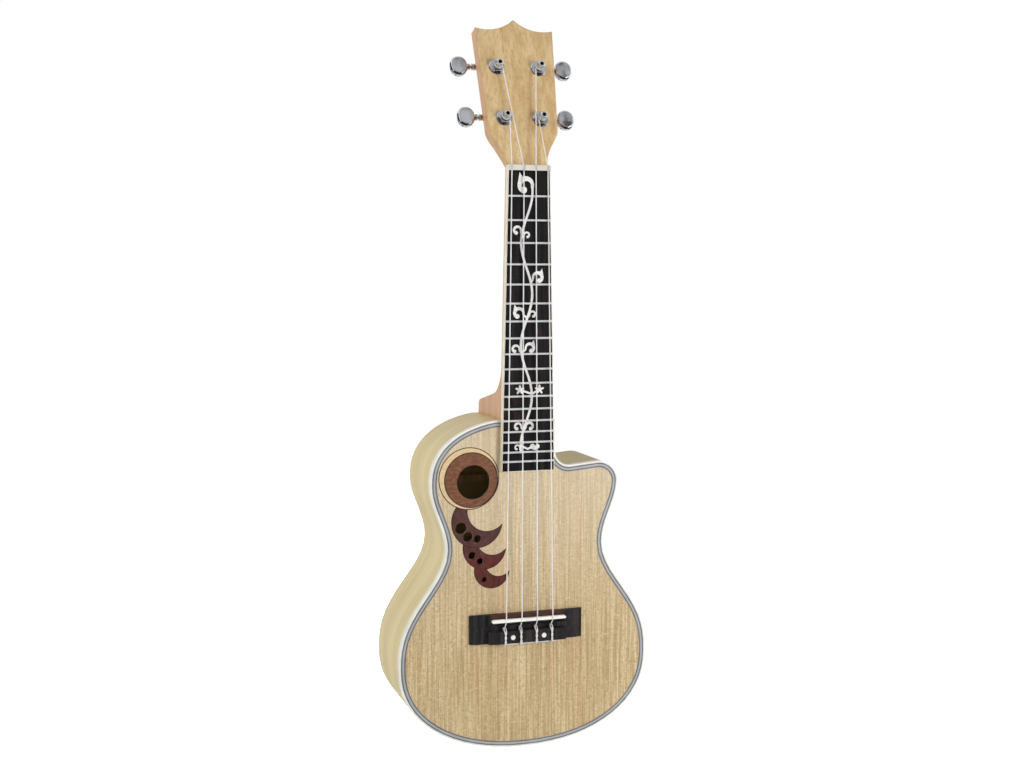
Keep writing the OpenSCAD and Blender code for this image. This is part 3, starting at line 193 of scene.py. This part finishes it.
def soundboard_wood():
    """Quarter-sawn top with a painted sheen that pales its shoulders: straight fine grain, wider bands, short
    cross flecks.
    """
    paint = Paint("soundboard_wood")
    place = paint.place()
    up = paint.axes(place)[2]
    bands = paint.noise(place, (60, 10, 1.5), detail=3, distortion=0.4)
    blush = paint.noise(place, (75, 10, 9), detail=2, distortion=0.5)
    lines = paint.noise(place, (620, 60, 11), detail=3, roughness=0.6, distortion=0.3)
    threads = paint.noise(place, (1500, 60, 40), detail=2)
    ripple = paint.noise(place, (230, 60, 640), detail=2, roughness=0.5, distortion=0.9)
    mottle = paint.noise(place, (620, 60, 330), detail=2, roughness=0.5, distortion=1.4)
    pores = paint.noise(place, (900, 900, 260), detail=2).step(0.6, 0.78)
    colour = paint.mix(bands.step(0.3, 0.7), srgb(204, 181, 136), srgb(220, 202, 160))
    colour = paint.mix(blush.step(0.5, 0.7) * 0.6, colour, srgb(214, 176, 132))
    colour = paint.mix(lines.step(0.38, 0.64) * 0.8, colour, srgb(168, 138, 92))
    colour = paint.mix(threads.step(0.5, 0.78) * 0.4, colour, srgb(164, 132, 88))
    colour = paint.mix(mottle.step(0.48, 0.68) * 0.66, colour, srgb(166, 135, 90))
    colour = paint.mix(ripple.step(0.55, 0.7) * 0.3, colour, srgb(172, 142, 97))
    colour = paint.mix(1.0 - ripple.step(0.3, 0.45), colour, paint.mix(0.3, colour, srgb(232, 217, 182)))
    colour = paint.mix(pores * 0.2, colour, srgb(150, 116, 72))
    # Painted sheen: the top pales towards its shoulders, as a soft glare of light would make it
    colour = paint.mix(up.step(-0.43, -0.23) * 0.32, colour, srgb(233, 222, 203))
    height = lines * 0.6 + threads * 0.4
    return paint.finish(Base_Color=colour, Roughness=lines * 0.14 + 0.42,
                        Coat_Weight=0.12, Coat_Roughness=0.25,
                        Normal=paint.bump(height, 0.00006, 0.5))


def side_wood():
    """Plain pale side wood whose grain runs round the body."""
    paint = Paint("side_wood")
    place = paint.place()
    bands = paint.noise(place, (5, 120, 4), detail=3, distortion=0.6)
    lines = paint.noise(place, (14, 520, 12), detail=3, roughness=0.6)
    pores = paint.noise(place, (160, 1500, 140), detail=2).step(0.55, 0.78)
    colour = paint.mix(bands.step(0.3, 0.72), srgb(216, 199, 152), srgb(228, 213, 170))
    colour = paint.mix(lines.step(0.42, 0.75) * 0.4, colour, srgb(196, 172, 120))
    colour = paint.mix(pores * 0.22, colour, srgb(160, 134, 92))
    return paint.finish(Base_Color=colour, Roughness=lines * 0.12 + 0.46, Specular_IOR_Level=0.16,
                        Normal=paint.bump(lines, 0.00005, 0.5, edge=0.0006))


def back_wood():
    """Pale back in two mirrored halves: grain up the board and a fine seam down the middle."""
    paint = Paint("back_wood")
    across, depth, up = paint.axes(paint.place())
    half = across.math("ABSOLUTE")
    place = paint.node("ShaderNodeCombineXYZ", sockets={"X": half, "Y": depth, "Z": up})
    bands = paint.noise(place, (75, 10, 4), detail=3, distortion=0.8)
    lines = paint.noise(place, (480, 40, 9), detail=3, roughness=0.6, distortion=0.3)
    pores = paint.noise(place, (1500, 100, 140), detail=2).step(0.55, 0.78)
    colour = paint.mix(bands.step(0.3, 0.72), srgb(214, 196, 148), srgb(228, 213, 170))
    colour = paint.mix(lines.step(0.4, 0.72) * 0.55, colour, srgb(190, 164, 112))
    colour = paint.mix(pores * 0.3, colour, srgb(160, 134, 92))
    colour = paint.mix(1.0 - half.step(0.0001, 0.0003), colour, srgb(140, 112, 74))
    colour = paint.mix(paint.facing()[1].step(0.5, 0.85), srgb(206, 188, 140), colour)
    return paint.finish(Base_Color=colour, Roughness=lines * 0.12 + 0.46, Specular_IOR_Level=0.16,
                        Normal=paint.bump(lines, 0.00005, 0.5, edge=0.0006))


def neck_wood():
    """Tan neck wood with painted pink shade on its sides, grain along the neck and short dark pores."""
    paint = Paint("neck_wood")
    place = paint.place()
    clouds = paint.noise(place, (28, 28, 12), detail=3)
    bands = paint.noise(place, (110, 110, 3), detail=3, distortion=0.5)
    threads = paint.noise(place, (520, 520, 14), detail=3, distortion=0.3)
    pores = paint.noise(place, (1500, 1500, 90), detail=2).step(0.56, 0.74)
    colour = paint.mix(bands.step(0.3, 0.7), srgb(205, 173, 120), srgb(227, 201, 152))
    colour = paint.mix(clouds.step(0.4, 0.7) * 0.4, colour, srgb(192, 158, 106))
    colour = paint.mix(threads.step(0.48, 0.7) * 0.65, colour, srgb(196, 146, 98))
    # Painted shade: faces turned away from the front are darker and pinker, as the light falls, and downward
    # faces at the front get less of it
    painted_side_shade = paint.mix(bands.step(0.3, 0.7), srgb(196, 147, 103), srgb(211, 165, 120))
    backward, rising = paint.facing()[1:]
    off_face = backward.step(-0.75, -0.55)
    not_under = rising.step(-0.5, -0.2).math("MAXIMUM", backward.step(-0.1, 0.1))
    colour = paint.mix(off_face * (not_under * 0.45 + 0.55), colour, painted_side_shade)
    colour = paint.mix(pores * 0.4, colour, srgb(146, 106, 64))
    return paint.finish(Base_Color=colour, Roughness=bands * 0.14 + 0.36,
                        Coat_Weight=0.18, Coat_Roughness=0.22,
                        Normal=paint.bump(pores, -0.00006, 0.6, edge=0.0012))


def rosewood(name, dark, light, brown_slope=None):
    """Near-black wood with brown streaks and open pores, red brown on the slope above a bridge's saddle."""
    paint = Paint(name)
    place = paint.place()
    streaks = paint.noise(place, (260, 260, 9), detail=4, distortion=0.8)
    pores = paint.noise(place, (1900, 1900, 110), detail=2).step(0.54, 0.72)
    patches = paint.noise(place, (30, 60, 40), detail=2)
    colour = paint.mix(streaks.step(0.42, 0.72), dark, light)
    colour = paint.mix(patches.step(0.55, 0.72) * streaks.step(0.4, 0.6) * 0.3, colour, srgb(74, 46, 38))
    if brown_slope:
        half, end_fade, low, low_fade = (length * MM for length in brown_slope)
        across, up = paint.axes(place)[::2]
        middle = 1.0 - across.math("ABSOLUTE").step(half - end_fade, half)
        slope = up.step(low, low + low_fade) * middle
        colour = paint.mix(slope * (streaks * 0.6 + 0.4), colour, srgb(94, 56, 46))
    colour = paint.mix(pores * 0.6, colour, srgb(8, 7, 7))
    return paint.finish(Base_Color=colour, Roughness=streaks * 0.2 + 0.46, Specular_IOR_Level=0.14,
                        Normal=paint.bump(pores, -0.00008, 0.7, edge=0.0005))


def block_wood(name, light, dark):
    """Sanded wood of the pieces inside the body."""
    paint = Paint(name)
    place = paint.place()
    lines = paint.noise(place, (340, 340, 18), detail=3, distortion=0.4)
    colour = paint.mix(lines.step(0.35, 0.7), light, dark)
    return paint.finish(Base_Color=colour, Roughness=lines * 0.15 + 0.6,
                        Normal=paint.bump(lines, 0.0001, 0.5))


def veneer(name, light, dark, pore):
    """Lacquered inlay veneer with its own grain."""
    paint = Paint(name)
    place = paint.place()
    streaks = paint.noise(place, (190, 60, 620), detail=4, distortion=1.2)
    pores = paint.noise(place, (330, 100, 1500), detail=2).step(0.52, 0.74)
    colour = paint.mix(streaks.step(0.32, 0.7), dark, light)
    colour = paint.mix(pores * 0.45, colour, pore)
    return paint.finish(Base_Color=colour, Roughness=streaks * 0.14 + 0.36,
                        Coat_Weight=0.18, Coat_Roughness=0.22,
                        Normal=paint.bump(pores, -0.00005, 0.6))


def crescent_veneer():
    """The three crescents step from purple brown to red brown down the soundboard."""
    paint = Paint("crescent_veneer")
    place = paint.place()
    up = paint.axes(place)[2]
    streaks = paint.noise(place, (420, 60, 150), detail=4, distortion=1.4)
    pores = paint.noise(place, (1300, 100, 260), detail=2).step(0.52, 0.74)
    upper = paint.mix(streaks.step(0.32, 0.7), srgb(72, 42, 40), srgb(98, 62, 58))
    lower = paint.mix(streaks.step(0.32, 0.7), srgb(78, 31, 28), srgb(106, 48, 41))
    colour = paint.mix((RED_BELOW * MM - up).step(0.0, 0.02), upper, lower)
    colour = paint.mix(pores * 0.5, colour, srgb(46, 20, 18))
    return paint.finish(Base_Color=colour, Roughness=streaks * 0.14 + 0.36,
                        Coat_Weight=0.18, Coat_Roughness=0.22,
                        Normal=paint.bump(pores, -0.00005, 0.6))


def strip(name, light, dark):
    """Thin plastic or fibre strip, such as binding and purfling."""
    paint = Paint(name)
    place = paint.place()
    clouds = paint.noise(place, (60, 60, 60), detail=3)
    scuffs = paint.noise(place, (900, 900, 900), detail=2)
    colour = paint.mix(clouds.step(0.3, 0.7), light, dark)
    return paint.finish(Base_Color=colour, Roughness=scuffs * 0.16 + 0.26,
                        Coat_Weight=0.15, Coat_Roughness=0.2,
                        Normal=paint.bump(scuffs, 0.00002, 0.4))


# Hard materials

def bone(name, light, dark):
    """Polished bone of the nut and saddle, with faint specks."""
    paint = Paint(name)
    place = paint.place()
    clouds = paint.noise(place, (120, 120, 120), detail=3)
    specks = paint.noise(place, (1600, 1600, 700), detail=2).step(0.6, 0.78)
    colour = paint.mix(clouds.step(0.35, 0.7), light, dark)
    colour = paint.mix(specks * 0.25, colour, srgb(206, 190, 156))
    return paint.finish(Base_Color=colour, Roughness=clouds * 0.12 + 0.26,
                        Normal=paint.bump(specks, -0.00003, 0.5, edge=0.0005))


def pearl():
    """White pearl shell with soft coloured bands."""
    paint = Paint("pearl")
    place = paint.place()
    bands = paint.noise(place, (160, 60, 220), detail=4, distortion=2.0)
    glow = paint.noise(place, (90, 60, 60), detail=2, distortion=1.0)
    colour = paint.mix(bands.step(0.35, 0.65), srgb(240, 237, 233), srgb(222, 218, 216))
    colour = paint.mix(glow.step(0.5, 0.7) * 0.35, colour, srgb(216, 223, 228))
    return paint.finish(Base_Color=colour, Roughness=bands * 0.14 + 0.16,
                        Coat_Weight=0.4, Coat_Roughness=0.1,
                        Normal=paint.bump(bands, 0.00002, 0.3))


def metal(name, colour, worn, low, high, shine=1.0):
    """Bare metal: fine scratches and a film that dulls it unevenly."""
    paint = Paint(name)
    place = paint.place()
    film = paint.noise(place, (90, 90, 90), detail=4)
    scratches = paint.noise(place, (500, 500, 3000), detail=3)
    tint = paint.mix(film.step(0.35, 0.75), colour, worn)
    rough = film.step(0.3, 0.75) * (high - low) + low
    return paint.finish(Base_Color=tint, Metallic=shine, Roughness=rough,
                        Normal=paint.bump(scratches, 0.000008, 0.4, edge=0.0003))


def post_distance(paint, place):
    """How far a point is from the axis of the nearest tuner post, in metres."""
    across, depth, up = paint.axes(place)
    lean = math.radians(HEAD_TILT)
    along = depth * math.sin(lean) + (up - NUT_T * MM) * math.cos(lean)
    side = across.math("ABSOLUTE")
    gaps = [(side - post_x * MM) ** 2 + (along - post_s * MM) ** 2 for post_x, post_s in POSTS]
    return gaps[0].math("MINIMUM", gaps[1]) ** 0.5


def post_chrome():
    """Bright chrome of the tuner posts, with painted shade of a bore as a dark spot in the middle of their
    tips.
    """
    paint = Paint("post_chrome")
    place = paint.place()
    film = paint.noise(place, (300, 300, 300), detail=3)
    colour = paint.mix(film.step(0.35, 0.75), srgb(240, 241, 243), srgb(226, 227, 231))
    # Painted shade: dark near each post's axis, where the hollow of its tip lies
    colour = paint.mix(1.0 - post_distance(paint, place).step(0.0015, 0.0019), colour, srgb(38, 40, 48))
    return paint.finish(Base_Color=colour, Metallic=0.8, Roughness=film * 0.1 + 0.08,
                        Normal=paint.bump(film, 0.00001, 0.3, edge=0.0003))


def nylon():
    """Clear nylon string, milky white, with painted grey shade and chrome reflection where it is wound on a
    chrome post.
    """
    paint = Paint("nylon")
    place = paint.place()
    clouds = paint.noise(place, (400, 400, 60), detail=2)
    colour = paint.mix(clouds.step(0.3, 0.7), srgb(233, 231, 231), srgb(224, 222, 222))
    # Painted shade and reflection: grey near the posts, for the chrome and shade seen through the clear
    # string
    colour = paint.mix(1.0 - post_distance(paint, place).step(0.0040, 0.0046), colour, srgb(186, 186, 188))
    return paint.finish(Base_Color=colour, Roughness=clouds * 0.1 + 0.22,
                        Coat_Weight=0.12, Coat_Roughness=0.2,
                        Normal=paint.bump(clouds, 0.00001, 0.3))


FINISHES = {
    "spruce": soundboard_wood(),
    "side_wood": side_wood(),
    "back_wood": back_wood(),
    "neck_wood": neck_wood(),
    "rosewood": rosewood("rosewood", srgb(22, 21, 22), srgb(44, 40, 39)),
    "bridge_wood": rosewood("bridge_wood", srgb(37, 36, 37), srgb(60, 57, 57), brown_slope=BRIDGE_SLOPE),
    "block_wood": block_wood("block_wood", srgb(206, 172, 122), srgb(180, 140, 92)),
    "brace_wood": block_wood("brace_wood", srgb(222, 194, 146), srgb(200, 164, 112)),
    "white_binding": strip("white_binding", srgb(238, 236, 226), srgb(228, 226, 214)),
    "cream_binding": strip("cream_binding", srgb(232, 225, 204), srgb(220, 211, 186)),
    "purfling_dark": strip("purfling_dark", srgb(116, 118, 122), srgb(98, 100, 104)),
    "purfling_light": strip("purfling_light", srgb(178, 179, 183), srgb(164, 166, 171)),
    "ring_veneer": veneer("ring_veneer", srgb(140, 92, 64), srgb(102, 62, 42), srgb(64, 36, 24)),
    "crescent_veneer": crescent_veneer(),
    "pale_veneer": veneer("pale_veneer", srgb(228, 206, 162), srgb(214, 186, 138), srgb(176, 140, 92)),
    "line_veneer": veneer("line_veneer", srgb(58, 34, 26), srgb(36, 22, 18), srgb(14, 9, 8)),
    "bone": bone("bone", srgb(230, 227, 216), srgb(222, 217, 202)),
    "white_bone": bone("white_bone", srgb(252, 250, 245), srgb(246, 243, 236)),
    "pearl": pearl(),
    "fret_metal": metal("fret_metal", srgb(234, 234, 235), srgb(223, 223, 225), 0.3, 0.45, shine=0.32),
    "chrome": metal("chrome", srgb(220, 222, 227), srgb(200, 203, 209), 0.04, 0.1),
    "post_chrome": post_chrome(),
    "housing_metal": metal("housing_metal", srgb(206, 208, 212), srgb(180, 183, 188), 0.1, 0.24),
    "gear_brass": metal("gear_brass", srgb(214, 178, 96), srgb(176, 138, 66), 0.22, 0.4),
    "worm_steel": metal("worm_steel", srgb(170, 172, 176), srgb(140, 142, 146), 0.2, 0.38),
    "nylon": nylon(),
}

# Nodes that look otherwise than the rest of their material slot
NODE_FINISHES = {"back": "back_wood", "bridge": "bridge_wood", "saddle": "white_bone", "post": "post_chrome"}

# An edge is sharp from this angle in degrees; points closer than this gap in metres are one
SHARP_EDGE, WELD_GAP = 32, 1e-6


def dress_cad_nodes():
    """Gives every CAD node its finish and smooth shading across its gentle edges."""
    for part in frame["record"]["subparts"]:
        piece = frame["nodes"][part["node"]]
        piece.data.materials.clear()
        finish = NODE_FINISHES.get(part["node"].rstrip("_1234"), part["material_slot"])
        piece.data.materials.append(FINISHES[finish])
        soften(piece)


def soften(piece):
    """Shades a piece smoothly except along its sharp edges."""
    for face in piece.data.polygons:
        face.use_smooth = True
    weld = piece.modifiers.new("weld", "WELD")
    weld.merge_threshold = WELD_GAP
    split = piece.modifiers.new("split", "EDGE_SPLIT")
    split.split_angle = math.radians(SHARP_EDGE)


# Strings: the same route as the solid strings, in millimetres until the curve is made

STRING_D = 1.0
STRING_R = STRING_D / 2
NUT_SPREAD, SADDLE_SPREAD = 31.8, 42.0
NUT_STRING_H = 7.9
SADDLE_Z, SADDLE_H = -382.0, 11.2
TIE_REAR_Z, TIE_LEN, TIE_H = -402.5, 10.9, 9.0
TIE_HOLE_H = 4.68
TAIL_GAP, LAST_TAIL, TAIL_DROP = 2, 5, 2.9
STRAND_GAP = 0.05
WINDING_R, WINDING_LOW, WINDING_HIGH, WINDING_TURNS = 3.4, 4.3, 7.3, 3


def smooth_run(points, steps=6):
    """Points on a smooth curve through all the given points."""
    run = []
    for i in range(len(points) - 1):
        a, b, c, d = (points[min(max(j, 0), len(points) - 1)] for j in range(i - 1, i + 3))
        for step in range(steps):
            t = step / steps
            run.append(0.5 * (2 * b + (c - a) * t + (2 * a - 5 * b + 4 * c - d) * t * t
                              + (3 * b - a - 3 * c + d) * t * t * t))
    return run + [points[-1]]


def winding(k, nut_point):
    """Turns of string on a tuner post, from the loose end down to where the string leaves for the nut."""
    joint = next(j for j in frame["record"]["behaviour"]["joints"] if j["name"] == f"post_{k}_turn")
    post = Vector(joint["pos_m"]) / MM
    out = Vector(joint["axis"])
    right, up = Vector((1, 0, 0)), Vector((0, out.z, -out.y))
    away = nut_point - post
    turn = 1 if k < 3 else -1
    reach = math.hypot(away.x, away.dot(up))
    start = math.atan2(away.dot(up), away.x) + turn * math.acos(WINDING_R / reach)
    steps = 32 * WINDING_TURNS
    turns = []
    for i in range(steps + 1):
        angle = start + turn * math.tau * WINDING_TURNS * i / steps
        height = WINDING_LOW + (WINDING_HIGH - WINDING_LOW) * i / steps
        turns.append(post + WINDING_R * (math.cos(angle) * right + math.sin(angle) * up) + height * out)
    loose_end = turns[-1] + (turns[-1] - turns[-2]).normalized() * STRING_D
    return [loose_end] + turns[::-1]


def knot(k, x):
    """Through the tie block, up its rear, twisted over its top, round the string and along the rear."""
    face_z = TIE_REAR_Z + TIE_LEN
    strand_h = TIE_H + STRING_R + 0.1
    pair_h = TIE_H + STRING_D + STRAND_GAP
    tail_h = strand_h - TAIL_DROP
    tail_lane = -STRING_R - 0.2
    tail = SADDLE_SPREAD / 3 - TAIL_GAP if k < len(TUNERS) else LAST_TAIL
    loop_side = STRING_D + STRAND_GAP

    def by_face(side, height, ahead):
        return Vector((x + side, -height, face_z + ahead))

    def by_rear(side, height, ahead):
        return Vector((x + side, -height, TIE_REAR_Z + ahead))

    def strand(share, phase):
        """One of the two strands that twist about each other on the block's top."""
        angle = math.tau * share + phase
        ahead = 1.3 + (TIE_LEN - 2.7) * share
        return by_rear(STRING_R * math.cos(angle), pair_h + STRING_R * math.sin(angle), ahead)

    loop = [(0.75, strand_h - 0.6, 0.6), (loop_side, strand_h - 2.2, 1.7), (loop_side, TIE_HOLE_H + 1.3, 2.4)]
    shares = [i / 6 for i in range(7)]
    return (
        [by_face(0, TIE_HOLE_H, 0.4), by_rear(0, TIE_HOLE_H, -0.3), by_rear(0.2, TIE_HOLE_H + 0.3, -1.4),
         by_rear(0.3, tail_h - 0.3, tail_lane - STRING_D - 0.1), by_rear(STRING_R, strand_h - 1.1, -1.0)]
        + [strand(share, 0) for share in shares]
        + [by_face(*point) for point in loop]
        + [by_face(0, 5.4, 3.1)]
        + [by_face(-side, height, ahead) for side, height, ahead in loop[::-1]]
        + [strand(share, math.pi) for share in shares[::-1]]
        + [by_rear(-STRING_R, strand_h - 0.75, -0.15), by_rear(-STRING_R, strand_h - 1.9, tail_lane),
           by_rear(-0.2, tail_h + 0.2, tail_lane), by_rear(0.8, tail_h, tail_lane),
           by_rear(3, tail_h, tail_lane), by_rear(tail, tail_h, tail_lane)]
    )


def make_strings():
    """One smooth tube for each string, in place of its solid."""
    for k in TUNERS:
        share = (k - 2.5) / 3
        nut_point = Vector((share * NUT_SPREAD, -NUT_STRING_H, NUT_T / 2))
        saddle_point = Vector((share * SADDLE_SPREAD, -SADDLE_H - STRING_R - STRAND_GAP, SADDLE_Z))
        over_saddle = [Vector((0, 0, 0.6)), Vector((0, 0, 0)), Vector((0, 0.2, -0.8))]
        route = winding(k, nut_point) + [nut_point, nut_point - Vector((0, 0, NUT_T / 2))]
        route += [saddle_point + step for step in over_saddle] + smooth_run(knot(k, saddle_point.x))
        data = bpy.data.curves.new(f"wound_string_{k}", "CURVE")
        data.dimensions = "3D"
        data.bevel_depth = STRING_R * MM
        data.bevel_resolution = 3
        data.use_fill_caps = True
        line = data.splines.new("POLY")
        line.points.add(len(route) - 1)
        for point, place in zip(line.points, route):
            point.co = (*(place * MM), 1)
        line.use_smooth = True
        string = bpy.data.objects.new(f"wound_string_{k}", data)
        bpy.context.collection.objects.link(string)
        data.materials.append(FINISHES["nylon"])
        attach(string, "instrument")
        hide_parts(f"string_{k}")


# Studio

# Lamps: place and aim in metres, width of the square panel in metres, power in watts
LAMPS = {
    "key": ((0.66, -1.05, -0.08), (0, 0, -0.25), 0.55, 11.2),
    "fill": ((-2.1, -0.25, 0.8), (0, 0, -0.2), 1.4, 33),
    "back": ((0.4, 2.0, -0.1), (0, 0, -0.2), 1.6, 18),
}
ROOM_LIGHT, FLOOR_GLOW = 0.2, 0.85
FLOOR_REACH = 6
GROUND = cad_box[0][2] - 0.12


def panel_lamp(name, place, aim, width, power):
    """A soft square lamp that polished surfaces do not mirror."""
    data = bpy.data.lights.new(name, "AREA")
    data.size = width
    data.energy = power
    light = bpy.data.objects.new(name, data)
    bpy.context.collection.objects.link(light)
    light.location = place
    light.rotation_euler = (Vector(aim) - Vector(place)).to_track_quat("-Z", "Y").to_euler()
    light.visible_glossy = False


def plane(name, corners, material):
    """A flat sheet of the studio, which is no part of the instrument."""
    mesh = bpy.data.meshes.new(name)
    mesh.from_pydata(corners, [], [(0, 1, 2, 3)])
    mesh.materials.append(material)
    sheet = bpy.data.objects.new(name, mesh)
    bpy.context.collection.objects.link(sheet)
    return sheet


def card(name, corners, dark, light):
    """A glowing grey sheet that only polished surfaces mirror, which paints dark and bright reflections into
    them.
    """
    paint = Paint(name)
    shade = paint.mix(paint.noise(paint.place(), (3, 3, 4)).step(0.38, 0.6), (dark,) * 3, (light,) * 3)
    grey = paint.finish(Base_Color=(0, 0, 0), Roughness=1.0, Specular_IOR_Level=0.0,
                        Emission_Color=shade, Emission_Strength=1.0)
    sheet = plane(name, corners, grey)
    sheet.visible_camera = sheet.visible_diffuse = sheet.visible_shadow = sheet.visible_transmission = False


def sloped(left, right, near, far):
    """Corners of a sheet from left to right, whose near and far edges lie at a depth and a height."""
    return [(left, *near), (right, *near), (right, *far), (left, *far)]


def upright(start, end, low, high):
    """Corners of an upright sheet over a line on the floor."""
    return [(*start, low), (*end, low), (*end, high), (*start, high)]


def studio():
    """White room: lamps in front, on the left and behind, and a pale floor well below the instrument."""
    for name, lamp in LAMPS.items():
        panel_lamp(name, *lamp)

    room = Paint("studio", "worlds")
    room.tree.nodes.clear()
    strength = room.seen() * (1 - ROOM_LIGHT) + ROOM_LIGHT
    white = room.node("ShaderNodeBackground", sockets={"Color": (1, 1, 1, 1), "Strength": strength})
    room.node("ShaderNodeOutputWorld", sockets={"Surface": white})
    bpy.context.scene.world = room.material

    floor = Paint("studio_floor")
    colour = floor.mix(floor.noise(floor.place(), (3, 3, 3)), srgb(252, 252, 252), srgb(249, 249, 249))
    glow = floor.mix(floor.seen(), (0, 0, 0), (1, 1, 1))
    pale = floor.finish(Base_Color=colour, Roughness=0.9, Emission_Color=glow, Emission_Strength=FLOOR_GLOW)
    near, far = (-FLOOR_REACH, GROUND), (FLOOR_REACH, GROUND)
    plane("studio_floor", sloped(-FLOOR_REACH, FLOOR_REACH, near, far), pale)

    on_floor = GROUND + 0.01
    # Glowing sheets seen only in mirror images: painted reflections of a dark room and of one bright strip
    card("studio_card_front", sloped(-1.6, 1.2, (-2.6, -0.6), (-2.6, 0.9)), 0.03, 0.05)
    card("studio_card_low", sloped(-2.0, 2.0, (-2.6, on_floor), (0.04, on_floor)), 0.02, 0.04)
    card("studio_card_rear", sloped(-2.0, 2.0, (0.04, on_floor), (3.0, on_floor)), 0.2, 0.95)
    card("studio_card_high", sloped(-0.8, 2.0, (-2.2, 0.9), (-0.5, 2.4)), 0.1, 0.6)
    card("studio_card_left", upright((-1.9, -1.6), (-1.9, 3.5), -0.6, 1.3), 0.03, 0.08)
    card("studio_card_strip", upright((0.9, -1.3), (1.05, -1.2), -0.6, 0.6), 2.4, 2.8)

    bpy.context.scene.view_settings.view_transform = "Standard"


def camera():
    """The photograph's viewpoint: a little to the left of the instrument and just above its middle."""
    pitch, yaw, roll = (math.radians(a) for a in (4.86, 17.79, 0.15))
    lens_px, frame_px, sensor = 1404.41, 1024, 36.0
    offset = Vector((12.70, -179.41, 1182.34)) * MM
    turn = Matrix(((math.cos(yaw), -math.sin(yaw), 0), (math.sin(yaw), math.cos(yaw), 0), (0, 0, 1)))
    image_axes = Matrix(((1, 0, 0), (0, 0, -1), (0, 1, 0)))
    tip = Matrix(((1, 0, 0), (0, math.cos(pitch), -math.sin(pitch)), (0, math.sin(pitch), math.cos(pitch))))
    lean = Matrix(((math.cos(roll), -math.sin(roll), 0), (math.sin(roll), math.cos(roll), 0), (0, 0, 1)))
    to_camera = lean @ tip @ image_axes @ turn
    data = bpy.data.cameras.new("camera")
    data.sensor_fit = "HORIZONTAL"
    data.sensor_width = sensor
    data.lens = lens_px / frame_px * sensor
    cam = bpy.data.objects.new("camera", data)
    bpy.context.collection.objects.link(cam)
    axes = to_camera.transposed() @ Matrix.Diagonal((1, -1, -1))
    cam.matrix_world = Matrix.Translation(-(to_camera.transposed() @ offset)) @ axes.to_4x4()
    bpy.context.scene.camera = cam


camera()
studio()
dress_cad_nodes()
make_strings()
